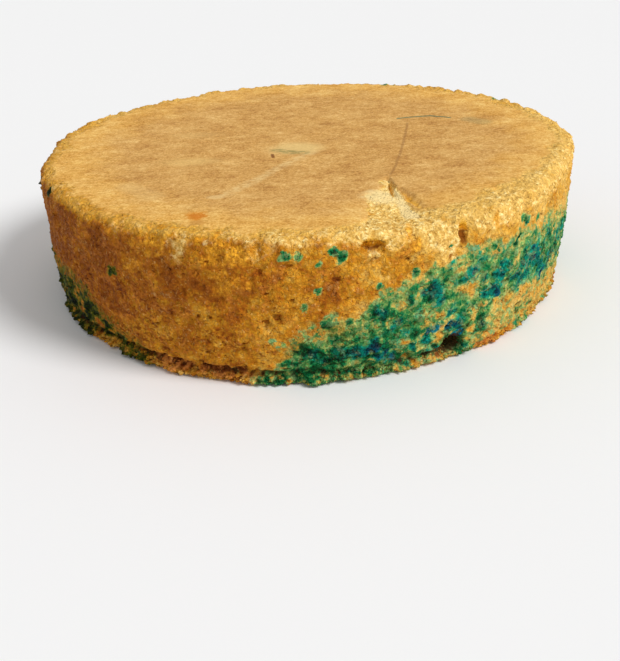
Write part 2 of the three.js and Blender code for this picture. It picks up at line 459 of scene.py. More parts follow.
# an angle round the cake, and how strongly the dye shows there
MARBLE_BODY = [
    (-180, 0.6), (-90, 0.6), (-66, 0.5), (-50, 0.42), (-38, 0.3), (-30, 0), (-12, 0.15), (-6, 0.5),
    (0, 0.7), (12, 0.62), (22, 0.52), (34, 0.56), (50, 0.68), (60, 0.58), (75, 0.5), (100, 0.6),
]
MARBLE_HAZE = [
    (-180, 0.25), (-66, 0.25), (-40, 0.15), (-30, 0), (-9, 0), (-3, 0.25), (8, 0.4), (12, 0.3),
    (18, 0.36), (36, 0.4), (48, 0.36), (60, 0.25), (100, 0.25),
]
HAZE_ABOVE = 6.5
PATCH_DEPTH = [(-180, 1.15), (18, 1.15), (30, 1), (60, 0.95), (90, 1), (130, 1.15)]
LIP_TOP = 3.6
MARBLE_LIP = [
    (-180, 0.4), (-90, 0.6), (-62, 0.9), (-55, 0.8), (-54, 0.1), (-46, 0.15), (-44, 0.6), (-36, 0.6),
    (-33, 0), (-13, 0), (-11, 0.8), (10, 0.85), (13, 0.5), (18, 0.45), (20, 0.15), (28, 0.2), (30, 0.8),
    (33, 0.6), (34.5, 0.05), (45, 0.05), (47, 0.5), (52, 0.5), (54, 0.2), (90, 0.3),
]
highest = max(MARBLE_TOP, key=lambda station: station[1])
print(f"marbling climbs to {highest[1]} mm, at {highest[0]} degrees")

# %% [markdown]
# ## Patches, bare spots and specks
# Between its edges the batter isn't even: fuller patches, streaks where plain batter shows through,
# thin minty places, and specks that strayed up the wall. Random spots would do for any cake. This
# one has its own, so they are measured one by one: each is an angle, a height and a size, and may
# have a width and a strength. A patch's last number is how far it leans to blue.

# %% Patches
PATCHES = [
    (-1.5, 15, 3.5, 1, 0.2), (1, 11, 4.5, 1.4, 0.35), (6.5, 12.5, 4, 1.9, 0.7), (9, 12.5, 2.2, 1.8, 1),
    (12, 14, 4, 1.3, 0.5), (13, 8.5, 3, 1.6, 0.7), (12.7, 26.5, 4, 1, 0.1), (15, 22, 2.4, 1.3, 0.6),
    (18, 30.5, 2, 1, 0.1), (22.5, 32.5, 4.5, 1.2, 0.35), (24, 28, 3, 1, 0.4), (27, 22, 2.8, 1, 0.5),
    (28, 15, 3, 1.3, 0.8), (31, 35, 4, 0.9, 0.75), (39, 32, 5, 1, 0.6), (37, 25.5, 3.2, 1.6, 1),
    (35, 12.5, 3.4, 0.5, 0.2), (46, 30, 4, 1, 0.4), (50.5, 30, 6.4, 1, 0.9), (55, 22, 4.5, 1, 0.8),
    (47, 24.5, 3, 1.3, 0.5), (57, 35, 3.5, 1, 0.3), (65, 28, 5, 1, 0.4), (71, 27, 5, 1, 0.3),
    (79, 22, 6, 1, 0.3), (60.5, 22, 3.5, 1, 0.5), (-5, 10, 2.4, 1.4, 0.1), (17, 17, 1.8, 1.4, 0.6),
    (43, 27, 3, 1.4, 0.3), (2.5, 25.5, 1.8, 1.3, 0.2), (6.3, 25.3, 1.4, 1, 0.2), (21.5, 12, 2.2, 1, 0.9),
    (19, 10, 1.8, 1.2, 0.6), (118, 18, 8, 1, 0.7), (-165, 22, 8, 1, 0.7), (130, 22, 6, 1, 0.5),
    (-62, 12, 4, 1.3, 0), (-54, 15, 2.6, 1.6, 0), (-47.5, 11, 1.8, 1.4, 0), (-44, 8, 1.4, 1.8, 0),
    (-61, 6, 3.4, 2, 0), (-78, 12, 6, 1, 0), (-56, 6.5, 2.6, 2.2, 0), (-50, 5.5, 2, 2.4, 0),
    (31, 4.2, 1.8, 1.4, 0.1),
]
leaning = sum(patch[4] > 0.5 for patch in PATCHES)
print(len(PATCHES), "patches of coloured batter,", leaning, "of them more blue than green")

# %% Bare and minty spots
BUFFS = [
    (31.5, 30.5, 2.6, 1.6), (28.5, 30.5, 1.6, 1.2), (34.5, 29, 1.6, 1.6), (43, 33, 2.4, 1, 0.8),
    (16.5, 13.5, 1.8, 1.8, 0.7), (18.5, 24, 3.2, 1, 0.5), (21.5, 18.3, 2, 1.8, 0.6),
    (24, 11, 2.2, 1, 0.8), (20.5, 9, 1.3, 1.8, 0.6), (12, 7, 1.1, 2.2, 0.6), (17.5, 19.5, 1.5, 1.4, 0.4),
    (32, 12, 2.6, 0.9), (31, 19.5, 1.8, 1.2, 0.7), (2.4, 21, 2.4, 1.3, 0.5), (7, 20.5, 2.8, 1.7, 0.5),
    (22.5, 24.5, 2.4, 1.2, 0.5), (17.5, 7, 1.5, 1.6, 0.7), (27, 12.2, 1.4, 0.8, 0.8),
    (4, 6.7, 0.8, 2, 0.6), (125, 14, 5), (-172, 17, 5), (-157, 12, 4), (-85, 10, 4), (-50, 9, 1.8, 1.6),
]
MINTS = [
    (27, 32, 2.4), (29, 38, 2.6), (36.5, 41.5, 2.4), (43, 41.5, 2.4), (43.5, 36, 2), (48, 35, 1.6),
    (40, 19, 3.4, 1.4), (47, 18, 3, 1.3), (61, 31, 2.6), (16, 28, 2), (26.5, 26, 1.8), (22, 22, 2),
    (66, 18, 3), (33, 17, 2.6), (82, 11, 4),
]
print(len(BUFFS), "bare spots and", len(MINTS), "minty ones")

# %% Specks
SPECKS = [
    (-4.3, 52.9, 1.7, 1.2), (-2.6, 52.3, 1.3, 1.2), (3.6, 53, 1.5), (5.4, 50.8, 1.6, 1.2),
    (1.3, 48.9, 0.8), (1, 38.7, 1.2), (12, 38.1, 1.3), (-1.5, 33, 1.4, 0.8, 0.5), (19, 40, 1.7),
    (-41.3, 37.4, 2.2, 1.3), (-6.6, 18, 2.4, 1, 0.4), (36.3, 43.2, 1.8), (42.4, 40.5, 2.2),
    (43, 43.5, 1.6), (45.4, 48.4, 1.9, 1.2), (50.6, 46.4, 1), (26.2, 48.2, 0.7), (25.7, 34.5, 2, 1, 1),
    (52, 8, 1.6, 2, 0.8), (47, 9, 1.4, 2, 0.6), (-68, 55, 1.6), (-80, 52, 2.6), (-78, 40, 1.6),
    (-76, 32, 1.8), (-74, 26, 2.2), (104, 52, 1.7), (118, 38, 2.8), (143, 44, 1.8), (150, 36, 2.2),
    (171, 47, 2.6), (-163, 41, 2.2), (-148, 50, 1.7), (-121, 33, 2.6), (-104, 44, 2.0), (124, 56, 1.4),
    (157, 56.5, 1.8),
]
# the first speck on the top lies under whole skin, which hides its colour
TOP_SPECKS = [(-74.7, 4.2, 1.5), (47.2, 98, 1.8)]
print(len(SPECKS), "specks on the wall and", len(TOP_SPECKS), "on the top")

# %% How strongly the coloured batter shows
PATCH_PUSH = 0.7
BARE = 0.85
MINTY = 0.45


def lip_share(points):
    """1 on the lip at the very foot, 0 above it."""
    return ease(points[:, 2], LIP_TOP + 0.6, LIP_TOP - 0.6)


def marble(points):
    """How strongly the coloured batter shows."""
    angles, z = angle_of(points), points[:, 2]
    ragged = z + 2.0 * grain(points, 7, 11) + 2.0 * grain(points, 3.2, 12)
    top, foot = round_line(angles, MARBLE_TOP), round_line(angles, MARBLE_FOOT)
    inside = ease(np.minimum(top - ragged, ragged - foot), -2.5, 3)
    haze = ease(top + HAZE_ABOVE - ragged, -3, 3) * round_line(angles, MARBLE_HAZE)
    haze = haze * (0.5 + 0.5 * ease(ragged - foot, -4, 2))
    clumps = 0.35 * grain(points, 5.5, 14) + 0.3 * grain(points, 4, 13, squash=2.2) * ease(z, 26, 14)
    band = haze + inside * (round_line(angles, MARBLE_BODY) - haze + clumps)
    patches = wall_spots(points, [patch[:4] for patch in PATCHES], PATCH_PUSH)
    band = np.maximum(band, round_line(angles, PATCH_DEPTH) * patches)
    band *= 1 - BARE * wall_spots(points, BUFFS, PATCH_PUSH)
    band *= 1 - MINTY * wall_spots(points, MINTS)
    lip = lip_share(points)
    broken = 0.2 + 0.8 * ease(grain(points, 2.2, 16), -0.7, 0.3)
    band = band * (1 - lip) + lip * round_line(angles, MARBLE_LIP) * broken
    under = ease(z, 0.4, 0.0)
    band = band * (1 - under) + under * 0.7 * ease(grain(points, 24, 15), 0.1, 0.45)
    band = np.maximum(band * (1 - topness(points)), 0.95 * wall_spots(points, SPECKS, PATCH_PUSH))
    return np.clip(np.maximum(band, top_spots(points, TOP_SPECKS)), 0, 1.2)


marble_share = marble(places)
print(f"coloured batter covers {(marble_share > 0.35).mean():.0%} of the knots")

# %% [markdown]
# ## Blue, navy and olive
# One food colour gives many greens: teal where the batter is thick, nearly navy in a few soaked
# spots, and a dull olive on the left, where it baked brown. Three more shares say which. They
# could be picked at random as well, but teal goes with the patches above, so it reads their list.

# %% Where the marbling leans to blue, navy and olive
NAVIES = [
    (23.3, 15.8, 2.2, 1.1), (27, 16, 2.2), (29.2, 11, 2.4), (12.8, 8.5, 1.8), (10.5, 13, 1.6, 2),
    (56.5, 19, 2.8), (51.2, 31, 2.4), (50.6, 35.5, 1.6), (31.7, 33, 1.9), (14.5, 7.5, 1.4),
    (38.3, 24, 1.8), (-168, 20, 4), (120, 19, 3),
]
BLUENESS = [(-180, 0.12), (-60, 0), (5, 0), (16, 0.12), (30, 0.16), (70, 0.2), (110, 0.12)]
OLIVE = [
    (-180, 0.3), (-130, 0.5), (-95, 0.9), (-45, 1), (-34, 0.8), (-20, 0.3), (-8, 0.05), (20, 0.05),
    (60, 0), (110, 0.1),
]
DULL_HAZES = [(4, 22, 5, 2), (-3, 17, 4, 1)]


def blue(points):
    """How far the marbling leans from green to blue."""
    own = 0.4 * ease(grain(points, 10, 21), 0.2, 1.0)
    own = np.maximum(own, 1.1 * wall_spots(points, PATCHES)) + round_line(angle_of(points), BLUENESS)
    return np.clip(own + 0.35 * grain(points, 4, 22), 0, 1)


def navy(points):
    """How inky it is."""
    return np.clip(wall_spots(points, NAVIES, push=0.9) * (1.1 + 0.4 * grain(points, 2.5, 23)), 0, 1)


def olive(points):
    """How far the green is dulled, where the batter round it baked brown."""
    dull = round_line(angle_of(points), OLIVE) + 0.2 * grain(points, 5, 24)
    return np.clip(np.maximum(dull, 0.55 * wall_spots(points, DULL_HAZES)), 0, 1)


dyed_places = places[marble_share > 0.35]
for word, share in (("blue", blue), ("navy", navy), ("olive", olive)):
    print(f"the coloured knots are {share(dyed_places).mean():.0%} {word}")

# %% [markdown]
# ## Toasting
# The tin browned the wall most on the left and behind, and hardly at all on the right. A share for toasting
# is given as two lines round the cake, one for the upper wall and one for the lower, with a third for the
# lip. Darker spots are listed one by one, and noise at two sizes makes it blotchy.

# %% How brown
# an angle round the cake, and how brown the crumb is there, from 0 to 1
TOAST_UP = [
    (-180, 0.6), (-140, 0.5), (-95, 0.76), (-60, 0.97), (-42, 0.9), (-30, 0.77), (-15, 0.71), (-4, 0.68),
    (4, 0.58), (14, 0.41), (22, 0.36), (30, 0.3), (60, 0.27), (85, 0.27), (120, 0.48), (150, 0.62),
]
TOAST_DOWN = [
    (-180, 0.5), (-100, 0.64), (-60, 0.9), (-45, 0.84), (-30, 0.61), (-10, 0.55), (10, 0.43), (30, 0.3),
    (60, 0.28), (90, 0.34), (140, 0.48),
]
TOAST_LIP = [
    (-180, 0.6), (-60, 0.5), (-35, 0.48), (-12, 0.46), (5, 0.42), (25, 0.46), (34, 0.42), (46, 0.4),
    (60, 0.36), (90, 0.5),
]
BROWNED = [
    (-43, 41, 4.5), (-41, 36, 3, 1, 0.6), (-37, 42, 5, 1.2, 0.6), (-15, 44, 5, 1.4), (-17.5, 43, 3.5),
    (-10, 44, 4, 1, 0.7), (-29, 54, 3, 1, 0.7), (33.6, 45.5, 1.8), (-3, 47, 3, 2, 0.6),
    (29, 52, 2.2, 0.7), (36, 7, 2), (47, 8, 3), (120, 45, 9), (-150, 40, 10), (160, 50, 7), (-100, 50, 8),
]


def toast(points):
    """How brown the crumb is baked."""
    angles, z = angle_of(points), points[:, 2]
    up = ease(z, 12, 38)
    wall = round_line(angles, TOAST_DOWN) * (1 - up) + round_line(angles, TOAST_UP) * up
    wall = wall + 0.12 * grain(points, 12, 31) + 0.15 * grain(points, 4.5, 32)
    wall = wall * (1 - 0.55 * topness(points)) + 0.22 * wall_spots(points, BROWNED, push=0.9)
    lip = lip_share(points)
    on_lip = round_line(angles, TOAST_LIP) + 0.5 * grain(points, 1.9, 33)
    return np.clip(wall * (1 - lip) + lip * on_lip, 0, 1)


toast_level = toast(places)
left, right = (toast_level[np.abs(knot_angles - angle) < 15].mean() for angle in (-50, 50))
print(f"toasting is {left:.2f} on the left and {right:.2f} on the right")

# %% [markdown]
# ## Orange and creamy crumb
# Crumb goes orange where it was pressed to the hot tin: in blotches, round the hollows and on the
# crust of the foot. Along the rim and in the tear it stayed raw and creamy, and the cream runs down
# the wall in short drips. The drips are a line round the cake too, the height that cream reaches
# down to, and a second line says how strong it is.

# %% How orange
RUDDY = [
    (18.3, 55.5, 2.2), (19, 51, 2.6), (19.3, 46, 3, 0.6, 0.8), (16, 43, 3, 1, 0.5), (-12.6, 53, 4, 1.5),
    (-17, 53.4, 5, 1.4), (-29, 54, 5, 1.5, 0.9), (-34, 52, 4, 1, 0.7), (29, 53, 2.6, 0.7),
    (27, 56, 2, 1, 0.6), (37, 53.5, 3.4, 1, 0.8), (41, 52, 3, 1, 0.5), (34, 49, 2.4, 1, 0.5),
    (46, 54, 4, 1, 0.4), (-36, 43, 5, 1.2, 0.7), (-15, 43, 5.5, 1.4, 0.8), (-29, 5, 4, 3, 0.9),
    (-18, 4, 4, 3.4, 0.9), (38, 4, 4, 2, 0.7), (44, 3, 3, 2, 0.6), (25, 4.6, 3.4, 1.8, 0.9),
    (9, 46, 3, 2, 0.5), (14, 37, 5, 1.2, 0.45), (-20, 52, 3, 2, 0.5), (64, 43, 4, 1, 0.3),
    (150, 50, 9, 2, 0.5), (-130, 45, 8, 2, 0.5),
]
TOP_RUDDY = [(21.5, -90.4, 2.6), (40.3, -76.8, 2.6), (48, -110, 4.0), (36, -70, 1.6), (-41.3, -87.6, 3.4)]


def ruddy(points):
    """How orange the crumb is."""
    own = 0.4 * ease(grain(points, 7, 34), 0.3, 0.9) * (1 - topness(points))
    spots = np.maximum(wall_spots(points, RUDDY, push=0.8), top_spots(points, TOP_RUDDY))
    return np.clip(np.maximum(own, spots), 0, 1)


print(len(RUDDY), "orange spots on the wall and", len(TOP_RUDDY), "near the top's edge")

# %% How creamy
# an angle round the cake, and how strong the cream is there, then how low it reaches
CREAM = [
    (-180, 0.6), (-70, 0.45), (-45, 0.4), (-28, 0.45), (-24, 0.65), (-21, 0.45), (-12, 0.65), (8, 0.8),
    (14, 0.85), (30, 0.75), (60, 0.7), (100, 0.6),
]
CREAM_LINE = [
    (-180, 55), (-62, 57), (-45, 57), (-40.5, 56), (-39, 52), (-37.5, 56), (-33, 57), (-27.5, 57),
    (-25.5, 52), (-24.3, 50), (-23, 52), (-21.5, 57), (-16, 57.5), (-12, 56), (-10, 52), (-8, 55),
    (-5, 57), (9, 56.5), (13, 56.5), (14.5, 51.5), (16, 53), (20, 55.5), (22, 49), (25, 42), (27, 43),
    (28.5, 55), (30.5, 55), (32, 51), (36, 50), (45, 51), (60, 52), (100, 54), (140, 56),
]
CREAM_SPOTS = [
    (11.2, 50, 1.4, 2.4, 0.9), (23.6, 2.6, 1.8, 2.5, 0.6), (27.6, 2.8, 1.2, 1.6, 0.8),
    (38, 13, 4, 1.2, 0.4), (-9.5, 52.6, 2, 1.6, 0.7), (-24.2, 50.6, 2, 0.8, 0.5),
]


def pale(points):
    """How raw and creamy the crumb is."""
    line = round_line(angle_of(points), CREAM_LINE)
    level = points[:, 2] + 2.0 * grain(points, 3.2, 41) + 1.6 * grain(points, 9, 43)
    drip = ease(level, line - 4.5, line + 3) * round_line(angle_of(points), CREAM)
    rim = drip * (1 - 0.35 * topness(points)) * (1 - 0.8 * ruddy(points))
    rim += 0.35 * grain(points, 5, 44) * drip
    rim = np.maximum(rim, wall_spots(points, CREAM_SPOTS, push=0.7))
    return np.clip(np.maximum(rim, torn(points)) + 0.1 * grain(points, 6, 42), 0, 1)


lowest = min(CREAM_LINE, key=lambda station: station[1])
print(f"cream runs down to {lowest[1]} mm, at {lowest[0]} degrees")

# %% [markdown]
# ## Relief
# A sponge's wall is torn crumb: lumps of a few millimetres, with pits where bubbles burst. It is
# smoothest where the tin browned it and roughest in the marbling, and the skin only ripples.
# Relief could be left to a bump map, but then the outline would stay smooth and the exported mesh
# flat, so the knots themselves move. What is finer than the net is left to loose crumbs and to
# bump in the material.

# %% How rough
# an angle round the cake, and a share of the full relief
ROUGH = [
    (-180, 0.85), (-90, 0.75), (-50, 0.75), (-20, 0.85), (0, 0.85), (20, 1), (40, 0.9), (70, 0.75),
    (110, 0.85),
]
rough = np.maximum(round_line(knot_angles, ROUGH), 0.95 * ease(marble_share, 0.3, 0.8))
rough *= 1 - 0.25 * torn_share
foot_share = ease(knot_heights, 4.6, 2.8)
near_rim = ease(knot_radii, RIM_RADIUS - 9, RIM_RADIUS - 4)
rim_share = bell((knot_heights - HEIGHT + 3) / 3.5) * near_rim * crumb_share
print(f"roughness {rough.min():.2f} to {rough.max():.2f}")

# %% [markdown]
# ## The crease over the foot
# The lowest few millimetres baked into a thin crust that frayed, and the wall above it pulled away,
# so a torn slit runs round the foot. It could be cut out of the net, but cutting leaves long thin
# faces. Pressing knots in along a line, wide or narrow and here and there closed, keeps every quad.

# %% The crease over the foot
# an angle round the cake, and how high the crease runs, how open it is and how wide
CREASE_LINE = [
    (-180, 5.4), (-62, 5.4), (-55, 4.8), (-48, 4.6), (-40, 4.6), (-33, 5.2), (-25, 5.6), (-15, 5),
    (-10, 4.4), (0, 4.3), (10, 4.1), (15, 4.2), (25, 4.2), (60, 4.6),
]
CREASE_OPEN = [
    (-180, 0.4), (-75, 0.8), (-62, 1), (-33, 1), (-12, 0.9), (-8, 0.7), (14, 0.7), (20, 0.5), (26, 0.5),
    (32, 0.1), (60, 0.15), (110, 0.4),
]
CREASE_WIDE = [
    (-180, 1), (-66, 1.3), (-54, 1.2), (-42, 0.9), (-35, 1.2), (-31, 1.6), (-16, 1.6), (-10, 0.9),
    (0, 0.7), (20, 0.7), (60, 0.8),
]
CREASE_HALF = 1.4
CREASE_DEPTH = 2.8


def crease(points):
    """The torn slit above the crust round the foot."""
    angles = angle_of(points)
    torn_edge = 0.5 * grain(points, 8, 71) + 1.2 * grain(points * np.array([1, 1, 0.35]), 2.3, 72)
    off = points[:, 2] - round_line(angles, CREASE_LINE) + torn_edge
    width = CREASE_HALF * round_line(angles, CREASE_WIDE) * (1 + 0.6 * grain(points, 5, 73))
    closed = ease(grain(points, 6, 74), -0.75, -0.2) * (0.35 + 0.65 * ease(grain(points, 2.4, 76), -0.5, 0.1))
    return bell(off / width) * round_line(angles, CREASE_OPEN) * closed


crease_share = crease(places)
print(f"the crease is open at {(crease_share > 0.5).mean():.1%} of the knots")

# %% [markdown]
# ## Pits
# Bubbles burst at the tin and left small pits, round or drawn out sideways. A noise pattern gives pits of one
# kind only. A list gives each its place, size and width: the larger ones one by one, and the many small ones
# at random, crowded low in front.

# %% Pits
PITS = [
    (-6.5, 29.5, 1.3), (-8, 38.8, 0.6, 1.5), (-3.6, 36, 0.7), (-10, 25.5, 0.7, 2), (-13, 16, 0.8),
    (11.6, 48.8, 0.6, 2.6), (26, 44.2, 0.8), (33.6, 45.4, 0.8), (-12.7, 18, 0.7), (-21, 27.5, 0.8),
    (-24, 29, 0.8, 1.4), (26, 48, 0.5), (-4.2, 49.4, 0.5, 3), (-30, 10, 0.9, 2), (47, 8, 1.1, 2),
    (53, 7, 1.0, 2), (12, 41.7, 0.5), (31.5, 41.5, 0.5), (18.6, 4.3, 1.2), (36, 6, 1.0, 2),
    (41, 4.5, 0.9, 2), (-20, 13, 0.7, 1.6), (-8.5, 27.5, 0.8), (6, 28, 0.6, 2),
]
PIT_COUNT = 180
PIT_SEED = 11
CROWD_ANGLE, CROWD_WIDTH, CROWD_TOP = -14, 26, 38


def many_pits():
    """Burst bubbles all over the wall, most of them low in front and a few up near the rim."""
    rng = np.random.default_rng(PIT_SEED)
    made = []
    while len(made) < PIT_COUNT:
        angle, z = rng.uniform(-180, 180), rng.uniform(8, HEIGHT - 8)
        crowded = math.exp(-((angle - CROWD_ANGLE) / CROWD_WIDTH) ** 2) if z < CROWD_TOP else 0
        if rng.random() < 0.3 + 0.7 * crowded:
            made.append((angle, z, 0.3 + 0.5 * rng.random() ** 2, rng.uniform(0.8, 2.6), rng.uniform(0.5, 1)))
    return made


pit_share = wall_spots(places, PITS + many_pits(), push=1.0) * crumb_share
print(len(PITS), "pits by hand and", PIT_COUNT, "at random")

# %% [markdown]
# ## Dents, fills and the sum of it all
# A few dents deepen the groove under the rim and draw the hole over the foot out to the left. Two
# fills make the large hollow beside the groove shallower, and raise its lower lip. All parts of the
# relief are then added up, and each knot moves by the sum along its normal: lumps in three sizes,
# flat layers low down, holes, ripples in the skin and the frayed foot. Adding is simpler than
# stacking modifiers, and each part keeps a plain meaning in millimetres.

# %% Lumps, holes and frays
lumps = 0.35 * grain(places, 6.5, 51) + 0.5 * grain(places, 2.9, 52) + 0.42 * grain(places, 1.7, 53)
layers = 0.5 * grain(places, 5, 61, squash=3.2) * ease(knot_heights, 20, 9)
holes = ease(grain(places, 3.2, 54), 0.55, 0.95)
burst = ease(grain(places, 8.0, 55), 0.7, 1.05)
ripples = 0.16 * grain(places, 13, 56) + 0.06 * grain(places, 3.4, 57)
gap_noise = ease(grain(places, 2.0, 75), 0.3, 0.75)
frayed = 0.5 * grain(places, 4.2, 58) + 1.1 * grain(places, 1.8, 59, squash=1.4)
frayed = frayed + 0.35 * grain(places, 11, 63) - 1.2 * gap_noise
print(f"lumps up to {lumps.max():.1f} mm high, frays up to {frayed.max():.1f} mm")

# %% Move the knots
FOOT_IN = [(-180, 0.2), (-10, 0.3), (15, 0.3), (32, 0.7), (60, 0.6), (90, 0.3), (120, 0.2)]
DENTS = [
    (18.3, 55, 1.6, 1, 0.6), (27.4, 6.6, 4, 1.5, 1.2), (25.2, 4.4, 2.6, 1.8, 0.9),
    (22.5, 4.4, 1.4, 2, 0.7),
]
DENT_DEPTH = 1.6
FILLS = [(11, 53.2, 2.4, 1.4, 0.9), (11, 49.8, 1.3, 2.4, 0.9)]
FILL_HEIGHT = 1.8
TEAR_DEPTH = 0.5
PIT_DEPTH = 1.1

move = crumb_share * rough * (lumps + layers - 0.8 * holes - 0.8 * burst) + skin_share * ripples
move += foot_share * (frayed - round_line(knot_angles, FOOT_IN))
move += rim_share * (0.6 + 0.6 * ease(places[:, 1], -20, 60)) * grain(places, 4.5, 60)
move -= TEAR_DEPTH * torn_share + CREASE_DEPTH * crease_share + PIT_DEPTH * pit_share
move += FILL_HEIGHT * wall_spots(places, FILLS, push=0.2) - DENT_DEPTH * wall_spots(places, DENTS, push=0.2)
move *= ease(knot_heights, 0.0, 0.5)
shaped = places + normals * move[:, None]
shaped[:, 2] = np.maximum(shaped[:, 2], 0)
print(f"knots move {move.min():.2f} to {move.max():.2f} mm")

# %% [markdown]
# ## Painted shade: how far each place lies in a hollow
# Deep in a hollow no light comes round, so the material paints shade there: the deeper a place lies, the
# darker its colour. Ambient occlusion could be asked of the renderer, but it wouldn't reach an export. The
# net knows it without light: a knot that stands off the drum much less than its highest neighbour lies in a
# hollow or a crack.
# The crease, the gaps between frays and the hollows that are best seen are added one by one.

# %% Painted shade: how far each place lies in a hollow
HOLLOW_REACH = 8
CRACK_REACH = 3
HOLLOW_FROM, HOLLOW_FULL = 1.6, 3.6
CRACK_FROM, CRACK_FULL = 0.4, 1.5
HOLE_ANGLE = 28
FRAY_GAP_SHADE = [(-180, 0.6), (-66, 1), (-10, 1), (15, 0.8), (30, 0.5), (50, 0.6), (80, 0.4)]
SHADED_HOLLOWS = [
    (11, 53.6, 2.7, 1.5), (29.4, 54.6, 2.6, 0.6), (29, 50, 3, 0.5), (18.3, 55, 1), (27.6, 7, 3.2, 1.5),
    (25.2, 4.6, 2.4, 1.8), (22.6, 4.6, 1.2, 2.4),
]


def below_neighbours(level, reach):
    """How far each knot of a grid lies below the highest knot near it."""
    highest = level
    for shift in range(-reach, reach + 1):
        highest = np.maximum(highest, np.roll(level, shift, axis=1))
    tall = np.pad(highest, ((reach, reach), (0, 0)), mode="edge")
    for shift in range(2 * reach + 1):
        highest = np.maximum(highest, tall[shift:shift + len(level)])
    return highest - level


# painted shade: the further a knot lies below its neighbours, the darker the material paints it
sunk = np.zeros(len(places))
for columns, reach, start, full in (
    (COLUMNS, HOLLOW_REACH, HOLLOW_FROM, HOLLOW_FULL),
    (COLUMNS // 2, CRACK_REACH, CRACK_FROM, CRACK_FULL),
):
    rows = [i for i, ring in enumerate(rings) if ring[2] >= 0 and ring[3] == columns]
    grid = slice(first[rows[0]], first[rows[-1]] + columns)
    level = np.array(proud[grid]).reshape(len(rows), columns)
    sunk[grid] = ease(below_neighbours(level, reach), start, full).ravel()
sunk *= ease(knot_heights, HEIGHT - 8, HEIGHT - 9) + ease(knot_radii, RIM_RADIUS - 8, RIM_RADIUS - 10)
sunk *= 1 - ease(knot_heights, 6.5, 5.5) * ease(np.abs(knot_angles - HOLE_ANGLE), 8, 10)
# painted shade in the listed hollows that are best seen
sunk = np.maximum(sunk, np.minimum(1, 2.5 * wall_spots(places, SHADED_HOLLOWS, push=0.25)))
# painted shade in the gaps between frays at the foot, and in the crease
fray_gap_shade = gap_noise * bell((knot_heights - 3.6) / 3.2) * round_line(knot_angles, FRAY_GAP_SHADE)
sunk = np.maximum(sunk * (0.9 + 0.3 * grain(places, 2.5, 62)), np.maximum(1.35 * crease_share, fray_gap_shade))
sunk = np.clip(sunk, 0, 1)
print("share of knots in hollows", round(float((sunk > 0.5).mean()), 4))

# %% [markdown]
# ## The body
# Points, faces and the flat map become one mesh. What the sponge is like at each point goes along
# as named numbers, which a material can read. Colours could be stored instead, but a share can
# still be broken up by finer patterns later, and a colour can't.

# %% Build the body
LOOKS = {
    "skin": skin, "marble": marble, "blue": blue, "navy": navy, "olive": olive,
    "toast": toast, "ruddy": ruddy, "pale": pale,
}


def new_piece(name, points, faces, looks, flat_map):
    """A smooth mesh object from points in millimetres, with each look stored on its points."""
    mesh = bpy.data.meshes.new(name)
    mesh.from_pydata((points * MM).tolist(), [], faces)
    for look, values in looks.items():
        mesh.attributes.new(look, "FLOAT", "POINT").data.foreach_set("value", values.astype(np.float32))
    mesh.uv_layers.new(name="OFBake").data.foreach_set("uv", flat_map.astype(np.float32).ravel())
    mesh.polygons.foreach_set("use_smooth", [True] * len(mesh.polygons))
    made = bpy.data.objects.new(name, mesh)
    bpy.context.scene.collection.objects.link(made)
    return made


looks = {name: share(places) for name, share in LOOKS.items()}
# the painted shade in hollows goes to the material
looks["sunk"] = sunk
# this pit share also darkens the material: painted shade in pits and holes
looks["pit_shade"] = np.clip(pit_share + 0.5 * holes * crumb_share * rough * (1 - looks["pale"]), 0, 1)
looks["tint"] = np.zeros(len(places))
body = new_piece("cake_body", shaped, faces, looks, flat_map)
print({name: round(float(values.mean()), 3) for name, values in looks.items()})

# %% [markdown]
# ## Loose crumbs
# Close up, a sponge is a felt of tiny torn bits, and they are what roughens its outline. They
# could be particles, but those are lost on export. So each kind is one joined mesh, built from
# arrays: a dented twenty-sided lump, turned and stretched at random, half buried at a random place
# on the body. Each lump has its own small star on the flat map, so that a baked picture gives it a
# colour of its own.

# %% One lump, and its star on the map
FIFTH = 2 * math.pi / 5
STAR_UPPER, STAR_LOWER, STAR_TIPS = 0.16, 0.32, 0.46


def ring_of_five(shift, out):
    """Five points round the middle. shift turns them by that many fifths."""
    return [(out * math.cos(FIFTH * (k + shift)), out * math.sin(FIFTH * (k + shift))) for k in range(5)]


def lump_form():
    """The corners, faces and flat star of an icosahedron: a pole, two rings of five, and a pole."""
    level, out = 1 / math.sqrt(5), 2 / math.sqrt(5)
    corners = [(0, 0, 1)]
    corners += [(x, y, level) for x, y in ring_of_five(0, out)]
    corners += [(x, y, -level) for x, y in ring_of_five(0.5, out)]
    corners += [(0, 0, -1)]
    star = [(0, 0)] + ring_of_five(0, STAR_UPPER) + ring_of_five(0.5, STAR_LOWER)
    tips = ring_of_five(1, STAR_TIPS)
    faces, star_corners = [], []
    for k in range(5):
        j = (k + 1) % 5
        upper = [(0, 1 + k, 1 + j), (1 + k, 6 + k, 1 + j), (6 + k, 6 + j, 1 + j)]
        faces += upper + [(11, 6 + j, 6 + k)]
        star_corners += [star[c] for face in upper for c in face] + [tips[k], star[6 + j], star[6 + k]]
    return np.array(corners), np.array(faces), np.array(star_corners)


LUMP_CORNERS, LUMP_FACES, LUMP_STAR = lump_form()
PER_LUMP = len(LUMP_CORNERS)
print("a lump has", PER_LUMP, "corners and", len(LUMP_FACES), "faces")

# %% [markdown]
# ## Scattering
# Each lump picks a triangle of the body, likelier where the triangle is large and where its kind gathers, and
# then a random place on it. Its turn comes from a random quaternion, because three random angles would favour
# the poles. A few lumps that stand out on the real cake are placed one by one and added to the same arrays.

